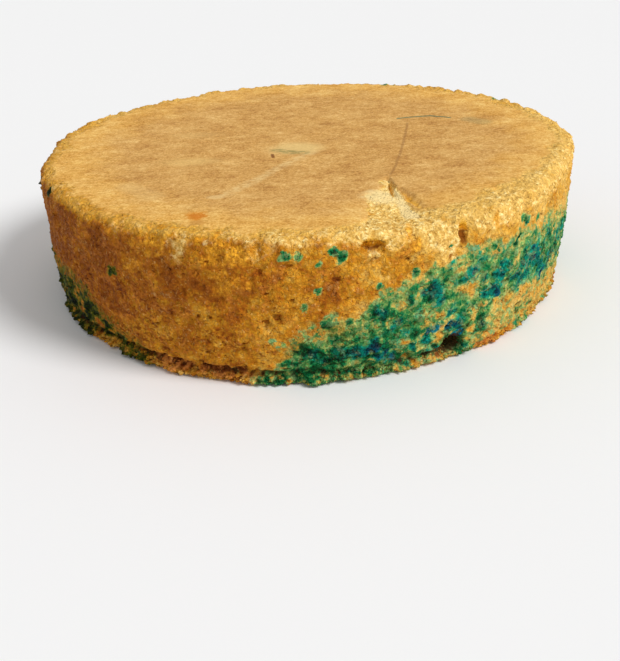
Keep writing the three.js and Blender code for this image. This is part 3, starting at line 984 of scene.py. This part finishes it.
# %% The body's triangles
trios = np.array([(face[0], face[k], face[k + 1]) for face in faces for k in range(1, len(face) - 1)])
trio_cross = np.cross(shaped[trios[:, 1]] - shaped[trios[:, 0]], shaped[trios[:, 2]] - shaped[trios[:, 0]])
trio_area = np.linalg.norm(trio_cross, axis=1) / 2
trio_out = trio_cross / np.maximum(2 * trio_area, 1e-9)[:, None]
print(f"{len(trios)} triangles of {trio_area.sum() / 100:.0f} square centimetres in all")

# %% Scatter lumps over the body
LUMP_DENTS = (0.55, 1.2)
LUMP_STRETCH = (0.55, 1.4)
OFF_FLOOR = 0.02


def random_turns(rng, count):
    """Rotation matrices spread evenly over all turns, from random unit quaternions."""
    q = rng.normal(size=(count, 4))
    w, x, y, z = (q / np.linalg.norm(q, axis=1, keepdims=True)).T
    rows = (
        (1 - 2 * (y * y + z * z), 2 * (x * y - w * z), 2 * (x * z + w * y)),
        (2 * (x * y + w * z), 1 - 2 * (x * x + z * z), 2 * (y * z - w * x)),
        (2 * (x * z - w * y), 2 * (y * z + w * x), 1 - 2 * (x * x + y * y)),
    )
    return np.array(rows).transpose(2, 0, 1)


def scatter(name, pull, count, sizes, buried, seed, flat=1.0, placed=()):
    """Lumps of torn crumb in one piece.

    pull says how strongly each knot draws them, sizes gives the least and the greatest, and flat how high a
    lump is for its width. The placed ones are x, y, z and size.
    """
    rng = np.random.default_rng(seed)
    chance = trio_area * pull[trios].mean(axis=1)
    pick = rng.choice(len(chance), count, p=chance / chance.sum())
    a, b, c = (shaped[trios[pick, k]] for k in range(3))
    u, v = rng.random((2, count, 1))
    over = u + v > 1
    u, v = np.where(over, 1 - u, u), np.where(over, 1 - v, v)
    size = sizes[0] + (sizes[1] - sizes[0]) * rng.random((count, 1)) ** 3
    middle = a + u * (b - a) + v * (c - a) + trio_out[pick] * size * (0.5 - buried)
    # painted shade: lumps in hollows are darkened by a random part of the hollow's shade
    shade = 0.8 * sunk[trios[pick]].mean(axis=1) * rng.random(count)
    if placed:
        middle = np.vstack([middle, [spot[:3] for spot in placed]])
        size = np.vstack([size, [[spot[3]] for spot in placed]])
        shade = np.concatenate([shade, np.zeros(len(placed))])
        count += len(placed)
    dented = LUMP_CORNERS * rng.uniform(*LUMP_DENTS, (count, PER_LUMP, 1))
    dented = dented * rng.uniform(*LUMP_STRETCH, (count, 1, 3))
    turned = np.einsum("nij,nkj->nki", random_turns(rng, count), dented) * np.array([1, 1, flat])
    corners = (middle[:, None] + 0.5 * size[:, None] * turned).reshape(-1, 3)
    corners[:, 2] = np.maximum(corners[:, 2], OFF_FLOOR)
    lump_faces = (LUMP_FACES + PER_LUMP * np.arange(count)[:, None, None]).reshape(-1, 3)
    cell_row = math.ceil(math.sqrt(count))
    cell = np.stack([np.arange(count) % cell_row, np.arange(count) // cell_row], axis=1)
    stars = ((cell[:, None] + 0.5 + LUMP_STAR) / cell_row).reshape(-1, 2)
    looks = {look: np.repeat(share(middle), PER_LUMP) for look, share in LOOKS.items()}
    looks["sunk"] = np.repeat(shade, PER_LUMP)
    looks["pit_shade"] = np.zeros(PER_LUMP * count)
    looks["tint"] = np.repeat(np.clip(rng.normal(0, 0.5, count), -1, 1), PER_LUMP)
    made = new_piece(name, corners, lump_faces.tolist(), looks, stars)
    print(name, count, "lumps,", len(lump_faces), "triangles")
    return made


print("lumps are dented by", LUMP_DENTS, "and stretched by", LUMP_STRETCH, "of their size")

# %% [markdown]
# ## Four kinds of crumb
# Plain bits sit all over the rough wall, dyed bits on the marbling, creamy bits along the rim and
# in the tear, and larger flat flakes on the frayed foot. One mixed piece would be simpler, but then
# all bits would have to share a size and a flatness. The first three kinds keep out of hollows and
# pits, or the holes would close. Flakes cling in the crease as well, but not at the far left,
# where it gapes, nor in the dark hole at the front right.

# %% Where each kind gathers
OPENING = [(26.6, 5.6, 4.4, 1.6)]
over_base = (knot_heights > 0.2).astype(float)
open_share = over_base * (1 - 0.85 * sunk) * (1 - 0.8 * looks["pit_shade"])
dyed = ease(marble_share, 0.35, 0.7)
wall_pull = open_share * (1 - top_share) * (1 - dyed) * (1 - foot_share) * (0.35 + 0.65 * rough)
in_crease = 0.5 * crease_share * ease(knot_angles, -58, -46)
in_opening = ease(wall_spots(places, OPENING), 0.1, 0.5)
foot_pull = over_base * np.maximum(foot_share, in_crease) * (1 - 0.97 * in_opening)
rim_pull = open_share * (rim_share + 0.3 * torn_share + 0.2 * top_share * crumb_share)
pulls = {"wall": wall_pull, "marbling": open_share * dyed, "rim": rim_pull, "foot": foot_pull}
print("pull on the knots:", {place: round(float(pull.mean()), 3) for place, pull in pulls.items()})

# %% Bits placed one by one
STRAYS = [
    (-79, 56, 1.8), (-80, 52, 3.0), (-79, 50, 2.2), (-78, 40, 2.0), (-76, 32, 2.2), (-74, 26, 2.4),
    (-71, 14, 3.4), (-69, 11, 2.6), (45.4, 48.4, 2.0), (42.4, 40.6, 1.8), (104, 53, 2.0), (112, 55, 1.8),
    (133, 55, 1.8),
]
FLAKES = [
    (66, 3.4, 4.0), (63.5, 2.2, 3.0), (-27, 1.2, 2.6), (-26, 0.9, 2.0), (-33, 1.0, 2.4), (30, 1.2, 2.6),
    (33, 2, 2.2), (-5.5, 0.8, 2.4), (-4.2, 0.6, 1.8), (1.4, 0.8, 2.2), (2.8, 0.6, 1.6), (11, 0.8, 2.2),
    (39, 1.0, 2.6), (52, 1.2, 2.4),
]
TOP_STRAY = (47.2, 98, 2.6)
body_tree = BVHTree.FromPolygons(shaped.tolist(), faces)


def on_wall(angle, z, size):
    """A lump on the wall, found from outside at an angle and a height."""
    a = math.radians(angle)
    outward = Vector((math.sin(a), -math.cos(a), 0))
    hit = body_tree.ray_cast(outward * 2 * RIM_RADIUS + Vector((0, 0, z)), -outward)[0]
    return (*hit, size)


def on_top(x, y, size):
    """A lump on the top, found from above."""
    return (*body_tree.ray_cast(Vector((x, y, 2 * HEIGHT)), Vector((0, 0, -1)))[0], size)


strays = [on_wall(*stray) for stray in STRAYS] + [on_top(*TOP_STRAY)]
flakes = [on_wall(*flake) for flake in FLAKES]
print(len(strays), "strays and", len(flakes), "flakes by hand")

# %% Four kinds of crumb
crumbs = [
    scatter("wall_crumbs", pulls["wall"], 9000, (0.5, 1.5), 0.7, 71),
    scatter("marbled_crumbs", pulls["marbling"], 9500, (0.5, 1.9), 0.66, 72, 0.7, strays),
    scatter("rim_crumbs", pulls["rim"], 5000, (0.6, 1.6), 0.8, 73),
    scatter("foot_crumbs", pulls["foot"], 6500, (0.5, 2.0), 0.6, 74, 0.6, flakes),
]
print(len(crumbs), "kinds,", sum(len(piece.data.polygons) for piece in crumbs), "triangles in all")

# %% [markdown]
# ## The sponge's finish
# One material serves the whole cake, because its skin, crumb and marbling run into each other.
# Nodes could be wired by hand in the editor; here a few small helpers wire them, so that a finish
# reads as a sum. The first ones make a node, plug things into it, and do arithmetic on shares.

# %% Start the finish
sponge = bpy.data.materials.new("sponge")
sponge.use_nodes = True
tree = sponge.node_tree
shader = tree.nodes["Principled BSDF"]


def plug(socket, value):
    """Links a socket into a node's input, or sets the input to a number, a colour or a vector."""
    if isinstance(value, bpy.types.NodeSocket):
        tree.links.new(value, socket)
    elif isinstance(value, (list, tuple)) and socket.type == "RGBA":
        socket.default_value = (*value[:3], 1)
    else:
        socket.default_value = value


def node(kind, settings=None, **inputs):
    """A shader node of a kind, with its settings and its named inputs filled in."""
    made = tree.nodes.new("ShaderNode" + kind)
    for name, value in (settings or {}).items():
        setattr(made, name, value)
    for name, value in inputs.items():
        plug(made.inputs[name.replace("_", " ")], value)
    return made


print("the finish starts with", len(tree.nodes), "nodes")

# %% Arithmetic on shares
def maths(operation, a, b=0.0, clamp=False):
    """One sum on two numbers."""
    made = node("Math", {"operation": operation, "use_clamp": clamp})
    plug(made.inputs[0], a)
    plug(made.inputs[1], b)
    return made.outputs[0]


def both(*shares):
    """The product of shares: high only where all of them are."""
    made = shares[0]
    for share in shares[1:]:
        made = maths("MULTIPLY", made, share)
    return made


def added(*terms):
    """The sum of terms: sockets, numbers, or pairs of a socket and its weight, which count from a half."""
    made = 0.0
    for term in terms:
        if isinstance(term, tuple):
            term = maths("MULTIPLY", maths("SUBTRACT", term[0], 0.5), term[1])
        made = maths("ADD", term, made)
    return made


def lacking(share):
    """What a share leaves of one."""
    return maths("SUBTRACT", 1.0, share)


def told(what):
    """Prints how far the material has grown."""
    print(f"{len(tree.nodes)} nodes with {what}")


told("an empty finish")

# %% Vectors, steps and colours
def vector(operation, a, b=None, scale=None):
    """One sum on two vectors, or on a vector and a scale."""
    made = node("VectorMath", {"operation": operation})
    plug(made.inputs[0], a)
    if b is not None:
        plug(made.inputs[1], b)
    if scale is not None:
        plug(made.inputs["Scale"], scale)
    return made.outputs["Value" if operation in ("DISTANCE", "DOT_PRODUCT") else "Vector"]


def step_up(value, start, end):
    """0 up to start, 1 from end on. start may be the larger."""
    made = node("MapRange", {"interpolation_type": "SMOOTHSTEP"}, Value=value)
    for index, level in enumerate((start, end, 0.0, 1.0)):
        plug(made.inputs[index + 1], level)
    return made.outputs[0]


def blend(share, under, over):
    """One colour laid over another, by a share."""
    made = node("Mix", {"data_type": "RGBA", "clamp_factor": True})
    plug(made.inputs[0], share)
    plug(made.inputs[6], under)
    plug(made.inputs[7], over)
    return made.outputs[2]


def share_of(name):
    """A share that was stored on the points."""
    return node("Attribute", {"attribute_name": name}).outputs["Fac"]


def ramp(value, *stops):
    """A colour for a value from 0 to 1, from stops of (place, colour)."""
    made = node("ValToRGB")
    marks = made.color_ramp.elements
    while len(marks) < len(stops):
        marks.new(0.5)
    for mark, (at, colour) in zip(marks, stops):
        mark.position = at
        mark.color = (*linear(*colour), 1)
    plug(made.inputs[0], value)
    return made.outputs[0]


stored = {look: share_of(look) for look in (*LOOKS, "sunk", "pit_shade", "tint")}
told("the shares that the points hold")

# %% [markdown]
# ## Patterns
# The shares on the points say roughly what is where, and patterns much finer than the net decide
# the exact edge. Picture textures would need files, so all patterns are noise or scattered cells.
# They read the object's own coordinates, turned to millimetres, so a pattern's size can be written
# as it would be measured on the cake. Places nudged by noise keep round cells from looking round.

# %% Kinds of pattern
place_mm = vector("SCALE", node("TexCoord").outputs["Object"], scale=1 / MM)
height_mm = node("SeparateXYZ", Vector=place_mm).outputs["Z"]


def speckle(size, detail=2.0, rough=0.55, seed=0.0, where=None):
    """Noise of lumps about size millimetres, from 0 to 1 with most near a half."""
    made = node("TexNoise", {"noise_dimensions": "4D"}, Vector=where or place_mm, Scale=1 / size, W=seed)
    plug(made.inputs["Detail"], detail)
    plug(made.inputs["Roughness"], rough)
    return made.outputs["Fac"]


def cells(size, seed=0.0, where=None):
    """Scattered points about size millimetres apart: distance to the nearest, and a number of its own."""
    kind = {"voronoi_dimensions": "4D", "feature": "F1"}
    made = node("TexVoronoi", kind, Vector=where or place_mm, Scale=1 / size, W=seed)
    own = node("SeparateColor", Color=made.outputs["Color"]).outputs["Red"]
    return made.outputs["Distance"], own


def nudged(size, amount, seed):
    """Places pushed about by noise, so that straight lines and round cells come out uneven."""
    push = node("TexNoise", {"noise_dimensions": "4D"}, Vector=place_mm, Scale=1 / size, W=seed)
    either_way = vector("SUBTRACT", push.outputs["Color"], (0.5, 0.5, 0.5))
    return vector("ADD", place_mm, vector("SCALE", either_way, scale=amount))


def thin_lines(pattern, half):
    """1 along the lines where a pattern passes a half, and 0 beyond half their width."""
    return step_up(maths("ABSOLUTE", maths("SUBTRACT", pattern, 0.5)), half, 0.0)


told("places and heights in millimetres")

# %% The crumb's own patterns
uneven_place = nudged(1.6, 1.8, 3)
fine = speckle(0.75, 3, 0.6, 1)
middling = speckle(2.4, 2, 0.55, 2)
broad = speckle(6, 2, 0.5, 15)
knobbly = speckle(1.5, 2, 0.5, 21, uneven_place)
gap, own = cells(1.15, 4, uneven_place)
grit = cells(1.7, 9, uneven_place)[1]
pore = step_up(speckle(1.5, 2, 0.6, 5, uneven_place), 0.64, 0.7)
vein = thin_lines(speckle(2.8, 2, 0.5, 16, uneven_place), 0.022)
crackle = both(vein, step_up(speckle(7, 2, 0.5, 17), 0.48, 0.6))
dash_place = vector("MULTIPLY", uneven_place, (0.55, 0.55, 1.0))
dashes = step_up(speckle(1.2, 2, 0.5, 25, dash_place), 0.55, 0.62)
dashes = both(dashes, step_up(speckle(6, 2, 0.5, 26), 0.42, 0.6))
layer_place = vector("MULTIPLY", uneven_place, (0.3, 0.3, 1.0))
layer_vein = thin_lines(speckle(2.6, 2, 0.5, 20, layer_place), 0.035)
glint = step_up(speckle(1.1, 2, 0.6, 6), 0.58, 0.72)
told("grains, pores, veins and dashes")

# %% [markdown]
# ## Plain crumb
# Toasted crumb runs from cream through gold to brown, and no two grains are alike. One colour per
# zone would look painted, so a share is summed with the patterns first and only then looked up on
# a ramp. Reddish grains, creamy crumb and orange crumb lie over it in turn, and where the orange
# reaches the foot it turns to the redder brown of a crust.

# %% Plain crumb, from creamy to toasted
toasting = added(stored["toast"], (broad, 0.3), (middling, 0.75), (knobbly, 0.5), (own, 0.15), (fine, 0.15))
crumb = ramp(
    toasting,
    (0.0, (248, 204, 110)),
    (0.28, (232, 178, 72)),
    (0.55, (214, 148, 32)),
    (0.8, (180, 106, 18)),
    (1.0, (146, 78, 12)),
)
reddish = ramp(knobbly, (0.3, (184, 102, 28)), (0.7, (224, 148, 62)))
reddish_share = both(step_up(speckle(5, 2, 0.5, 14), 0.5, 0.68), step_up(toasting, 0.3, 0.6), 0.45)
crumb = blend(reddish_share, crumb, reddish)
grainy = added(knobbly, (own, 0.2), (middling, 0.5), (fine, 0.3))
creamy = ramp(grainy, (0.2, (226, 166, 64)), (0.5, (248, 204, 112)), (0.8, (255, 236, 168)))
creaminess = added(stored["pale"], (middling, 0.6), (broad, 0.7), (own, 0.2))
crumb = blend(step_up(creaminess, 0.1, 0.9), crumb, creamy)
told("toasted and creamy crumb")

# %% Orange crumb and the crust of the foot
CRUST_FROM, CRUST_FULL = 8, 5
ruddiness = maths("MULTIPLY", stored["ruddy"], 0.22)
orange_grain = added(0.5, (knobbly, 0.55), (middling, 0.5), (fine, 0.2), ruddiness)
orange = ramp(orange_grain, (0.25, (180, 102, 10)), (0.5, (216, 138, 20)), (0.8, (246, 178, 50)))
crust = ramp(orange_grain, (0.25, (150, 66, 14)), (0.5, (206, 116, 40)), (0.8, (238, 164, 88)))
orange = blend(step_up(height_mm, CRUST_FROM, CRUST_FULL), orange, crust)
orange_share = step_up(added(stored["ruddy"], (middling, 0.5), (fine, 0.4)), 0.25, 0.95)
crumb = blend(maths("MULTIPLY", orange_share, 0.85), crumb, orange)
crumb = blend(both(glint, step_up(toasting, 1.3, 0.6), 0.5), crumb, linear(240, 198, 124))
told("orange crumb and crust")

# %% [markdown]
# ## Marbled crumb
# Where dye soaked in deep it is dark and bluish, and where it barely reached it is a thin mint. So
# the greens, teals, inks and olives are each a ramp by depth, from pale to dark, and the stored
# shares choose between them. A second sum decides where there is dye at all, with grit in it, so
# that single grains stay plain among coloured ones.

# %% Marbled crumb
dye = added(stored["marble"], (middling, 0.6), (broad, 0.3), (grit, 0.3), (knobbly, 0.3))
dyed_share = both(step_up(dye, 0.0, 0.4), step_up(stored["marble"], 0.03, 0.16))
clumps = speckle(4, 2, 0.5, 7, uneven_place)
clumped = added((clumps, 0.95), (middling, 0.45), (grit, 0.4), (knobbly, 0.6), (fine, 0.75))
depth = added(maths("MULTIPLY", stored["marble"], 0.72), maths("MULTIPLY", stored["tint"], 0.2), clumped)
GREENS = (0.0, (200, 206, 120)), (0.28, (106, 162, 86)), (0.55, (16, 124, 70)), (0.95, (0, 50, 16))
TEALS = (0.0, (140, 202, 126)), (0.28, (16, 162, 122)), (0.55, (0, 136, 120)), (0.95, (0, 66, 70))
OLIVES = (0.0, (166, 140, 40)), (0.25, (104, 106, 16)), (0.5, (46, 64, 4)), (0.85, (6, 16, 0))
INKS = (0.1, (8, 138, 148)), (0.5, (0, 100, 120)), (0.95, (0, 42, 60))
greens, teals, olives, inks = (ramp(depth, *stops) for stops in (GREENS, TEALS, OLIVES, INKS))
dyes = blend(step_up(added(stored["blue"], (own, 0.2), (middling, 0.5)), 0.2, 0.75), greens, teals)
dyes = blend(step_up(added(stored["navy"], (own, 0.3), (middling, 0.6)), 0.3, 0.7), dyes, inks)
dyes = blend(step_up(added(stored["olive"], (middling, 0.6)), 0.15, 0.85), dyes, olives)
# painted highlights: pale flecks on the lighter dyed grains
dye_glints = both(step_up(grit, 0.76, 0.86), step_up(depth, 1.1, 0.5), lacking(stored["olive"]), 0.5)
dyes = blend(dye_glints, dyes, linear(176, 200, 130))
crumb = blend(dyed_share, crumb, dyes)
told("marbled crumb")

# %% [markdown]
# ## The top's skin
# The skin is thin and nearly smooth: a mottled tan with fine wrinkles that mostly lie one way, and
# yellower near the rim. Two ramps read the same mottling, one tan and one gold, and a ragged
# distance from the middle blends them. The wrinkles are noise squeezed along one axis.

# %% Skin
GOLD_FROM, GOLD_FULL = RIM_RADIUS - 42, RIM_RADIUS - 8
streaked = vector("MULTIPLY", nudged(6, 2.0, 18), (0.5, 1.0, 1.0))
streaks = speckle(1.4, 3, 0.65, 8, streaked)
clouds = added((speckle(12, 3, 0.6, 9), 0.7), (speckle(5, 2, 0.5, 19, streaked), 0.5))
mottle = added((streaks, 0.7), clouds, (fine, 1.0), (own, 0.15), 0.5)
TANS = (0.2, (180, 126, 63)), (0.42, (206, 154, 83)), (0.58, (218, 168, 95)), (0.82, (237, 193, 121))
GOLDS = (0.2, (200, 140, 56)), (0.42, (225, 169, 82)), (0.58, (237, 184, 97)), (0.82, (250, 210, 126))
flat_place = vector("MULTIPLY", nudged(7, 2.4, 12), (1.0, 1.0, 0.0))
from_middle = vector("DISTANCE", flat_place, (0.0, 0.0, 0.0))
goldness = step_up(added(from_middle, (speckle(11, 2, 0.5, 10), 36)), GOLD_FROM, GOLD_FULL)
skin_colour = blend(goldness, ramp(mottle, *TANS), ramp(mottle, *GOLDS))
wrinkle = both(step_up(speckle(1.3, 2, 0.5, 11, streaked), 0.62, 0.76), step_up(clouds, 0.2, -0.1))
skin_colour = blend(both(wrinkle, 0.4), skin_colour, linear(160, 108, 54))
told("the skin")

# %% [markdown]
# ## Marks on the skin
# The skin carries marks: a hair crack, a green thread, a pale crease, a pale patch with a small
# grey-green smear, a nick, a toasted spot. They could be painted on points, but are finer than the
# net, so each is measured in the material as a distance to a line or a spot. Slightly nudged
# places keep a line from being ruler straight.

# %% Distances on the top
up_top = step_up(height_mm, HEIGHT - 14, HEIGHT - 10)
thin_place = vector("MULTIPLY", nudged(5, 1.3, 13), (1.0, 1.0, 0.0))


def away_from(x, y, wide=1.0, deep=1.0):
    """Distance to a spot on the top, in its own radii across and away."""
    scaled = vector("MULTIPLY", vector("SUBTRACT", flat_place, (x, y, 0.0)), (1 / wide, 1 / deep, 0.0))
    return vector("DISTANCE", scaled, (0.0, 0.0, 0.0))


def away_from_line(*stations, where=thin_place):
    """Distance to a line through points on the top."""
    nearest = None
    for (ax, ay), (bx, by) in zip(stations, stations[1:]):
        along = Vector((bx - ax, by - ay, 0))
        from_start = vector("SUBTRACT", where, (ax, ay, 0.0))
        forward = vector("DOT_PRODUCT", from_start, tuple(along))
        foot = vector("SCALE", tuple(along), scale=maths("DIVIDE", forward, along.length_squared, clamp=True))
        away = vector("DISTANCE", from_start, foot)
        nearest = away if nearest is None else maths("MINIMUM", nearest, away)
    return nearest


pale_crease = away_from_line((2.4, -15), (-9, -31), (-20.5, -49), (-32, -66))
smear = away_from_line((-13, -10), (-7, -13.4), (-1, -15))
nick = away_from_line((-14.6, -15.5), (-14.1, -20))
thread = away_from_line((43.5, 32), (50, 34.3), (58.5, 34.5), (67, 29.5))
hair = away_from_line((46.8, 23), (41.4, -11), (36, -38), (32.8, -50))
pale_smear = away_from_line((-72, -50), (-60, -62), where=flat_place)
green_smear = away_from_line((75.5, 25), (81, 18.5), where=flat_place)
toasty = added(away_from(-41.3, -87.6, 3.9, 4.7), (middling, 1.6), (fine, 1.2))
told("distances to lines and spots")

# %% Marks on the skin
streaky = step_up(streaks, 0.35, 0.6)
marks = {
    "pale crease": (both(step_up(pale_crease, 4.0, 0.6), streaky), 0.65, (234, 200, 136)),
    "pale patch in the middle": (step_up(away_from(-4.4, -8.6, 14, 10), 1.15, 0.4), 0.75, (234, 200, 130)),
    "light patch on the left": (step_up(away_from(-49, -21, 17, 7), 1.15, 0.3), 0.5, (230, 190, 116)),
    "pale smear at the front left": (step_up(pale_smear, 7, 2), 0.3, (230, 192, 124)),
    "light patch at the back left": (step_up(away_from(-50, 18, 15, 7), 1.15, 0.3), 0.3, (230, 190, 118)),
    "pale spot near the front": (step_up(away_from(-35.4, -67.8, 4, 2.4), 1.2, 0.5), 0.5, (240, 206, 142)),
    "grey-green smear": (both(step_up(smear, 3.8, 1.0), streaky), 0.85, (146, 132, 74)),
    "nick": (step_up(nick, 1.0, 0.35), 0.85, (120, 66, 26)),
    "green smear on the right": (step_up(green_smear, 6, 2), 0.3, (160, 160, 110)),
    "green thread": (step_up(thread, 1.3, 0.5), 0.8, (66, 110, 84)),
    "hair crack": (step_up(hair, 0.9, 0.25), 0.5, (150, 104, 56)),
    "toasted spot": (step_up(toasty, 1.3, 0.7), 0.9, (218, 142, 46)),
    "toasted spot's middle": (step_up(toasty, 0.8, 0.4), 0.6, (206, 116, 24)),
    "brown edge before it": (step_up(away_from(-40, -95, 3, 3), 1.25, 0.6), 0.45, (190, 126, 48)),
}
for share, strength, mark_colour in marks.values():
    skin_colour = blend(both(share, strength, up_top), skin_colour, linear(*mark_colour))
told(f"{len(marks)} marks")

# %% [markdown]
# ## Shade between the grains
# Between grains the crumb is a little darker, in pores much darker. Cycles would shade real gaps by
# itself, but these are finer than any mesh, so the colour helps: a grain's own number lifts or
# lowers it, and gaps, pores, short dark dashes low on the wall, flat layers in the marbling and
# burst bubbles darken it. Light that has gone through sponge is browner, so shade takes more blue
# away than red. Creamy crumb is softer, and shades less.

# %% Shade between the grains
SHADOW = (0.5, 0.34, 0.19)
DASHES_BELOW, DASHES_FULL = 46, 30
LAYERS_BELOW, LAYERS_FULL = 24, 12


def shaded(under, share):
    """A colour as it is in a crumb's own shadow."""
    return blend(share, under, vector("MULTIPLY", under, SHADOW))


soft = lacking(maths("MULTIPLY", step_up(creaminess, 0.0, 0.7), 0.55))
crumb_light = added(1.0, (own, 0.22), (knobbly, 1.0), (fine, 0.24), maths("MULTIPLY", stored["tint"], 0.2))
crumb = vector("SCALE", crumb, scale=crumb_light)
crumb = shaded(crumb, both(step_up(gap, 0.36, 0.75), 0.42, soft))
crumb = shaded(crumb, both(maths("MAXIMUM", pore, crackle), 0.75, soft))
crumb = shaded(crumb, both(dashes, step_up(height_mm, DASHES_BELOW, DASHES_FULL), 0.9, soft))
layered = step_up(height_mm, LAYERS_BELOW, LAYERS_FULL)
crumb = shaded(crumb, both(layer_vein, layered, step_up(stored["marble"], 0.2, 0.5), 0.85))
# painted shade in pits
crumb = shaded(crumb, both(step_up(added(stored["pit_shade"], (fine, 0.5)), 0.25, 0.75), 0.9))
told("shaded crumb")

# %% Skin over crumb
skin_light = added(1.0, (fine, 0.22), (own, 0.06), maths("MULTIPLY", stored["tint"], 0.1))
skin_colour = vector("SCALE", skin_colour, scale=skin_light)
skin_cover = step_up(added(stored["skin"], (middling, 1.0), (own, 0.3)), 0.2, 0.85)
colour = blend(skin_cover, crumb, skin_colour)
raw_patch = step_up(added(away_from(27, -72.5, 7, 7), (middling, 1.0)), 1.3, 0.5)
raw_line = away_from_line((33.5, -62), (37, -92), where=flat_place)
raw_edge = step_up(added(raw_line, (middling, 3.0)), 4.0, 2.0)
raw_side = both(raw_edge, step_up(maths("SUBTRACT", stored["pale"], stored["skin"]), 0.5, 0.9))
colour = blend(both(maths("MAXIMUM", raw_patch, raw_side), up_top, 0.75), colour, linear(252, 226, 162))
told("skin over crumb, and raw crumb in the tear")

# %% [markdown]
# ## Painted shade in hollows
# A deep hollow gets painted shade: dark brown low on the cake, and a dark rust where the crumb round it is
# orange. Under the rim the painted shade is ochre, with painted light towards its upper edge, where light
# comes through the thin crumb above. A stored share says how deep a place lies, and height picks the colour.

# %% Painted shade in hollows
OCHRE_FROM, OCHRE_FULL = 24, 40
# painted shadow in hollows: dark brown, or a dark rust where the crumb is orange
hollow_shadow = ramp(knobbly, (0.3, (28, 10, 3)), (0.7, (84, 34, 12)))
rusty_hollow_shadow = ramp(knobbly, (0.3, (48, 12, 2)), (0.7, (122, 50, 12)))
hollow_shadow = blend(stored["ruddy"], hollow_shadow, rusty_hollow_shadow)
up_hollow = added(step_up(height_mm, HEIGHT - 8.5, HEIGHT - 2), (knobbly, 0.3))
# painted shade under the rim, ochre, with painted light towards the hollow's upper edge
ochre_hollow_shading = ramp(
    up_hollow,
    (0.1, (122, 62, 4)),
    (0.35, (218, 144, 12)),
    (0.65, (236, 172, 36)),
    (1.0, (244, 190, 84)),
)
hollow_shade_colour = blend(step_up(height_mm, OCHRE_FROM, OCHRE_FULL), hollow_shadow, ochre_hollow_shading)
hollow_shade_share = step_up(added(stored["sunk"], (fine, 0.5), (knobbly, 0.5)), 0.3, 0.95)
# the painted shade is laid over the colour where a place lies deep
colour = blend(both(hollow_shade_share, 0.88), colour, hollow_shade_colour)
plug(shader.inputs["Base Color"], colour)
told("the whole colour")

# %% [markdown]
# ## Bump and gloss
# What is finer than the net still catches light, so grains, gaps and pores go into a bump, and the
# skin gets a much weaker one. Real displacement would need a net ten times finer. Baked crumb is
# dull, a little less so on its finest grains, and never wet, so the shine is kept low.

# %% Bump and gloss
BUMP_STRENGTH = 0.9
BUMP_HEIGHT = 0.9 * MM
SHINE = 0.1
crumb_relief = added((fine, 0.25), (knobbly, 1.0), (middling, 1.0))
for deep in (gap, pore):
    crumb_relief = maths("SUBTRACT", crumb_relief, maths("MULTIPLY", deep, 0.5))
relief = node("Mix", {"data_type": "FLOAT"})
plug(relief.inputs[0], skin_cover)
plug(relief.inputs[2], crumb_relief)
plug(relief.inputs[3], added((streaks, 0.22), (fine, 0.14)))
bump = node("Bump", Strength=BUMP_STRENGTH, Distance=BUMP_HEIGHT, Height=relief.outputs[0])
plug(shader.inputs["Normal"], bump.outputs[0])
gloss = node("MapRange", Value=fine)
for index, level in enumerate((0.35, 0.7, 0.85, 0.55)):
    plug(gloss.inputs[index + 1], level)
plug(shader.inputs["Roughness"], gloss.outputs[0])
shader.inputs["Specular IOR Level"].default_value = SHINE
told("bump and gloss")

# %% [markdown]
# ## The pieces stand for the solid
# The body and the four kinds of crumb all wear the one finish. They ride on the cake's only rigid
# body and stand together for its solid, which is hidden but still does the colliding. Joining them
# into one mesh would look the same, but separate pieces can be looked at and changed one by one.

# %% The pieces stand for the CAD solid
for piece in (body, *crumbs):
    piece.data.materials.append(sponge)
    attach(piece, "root")
    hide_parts("marble_cake")
    print(piece.name, "has", len(piece.data.vertices), "points and", len(piece.data.polygons), "faces")
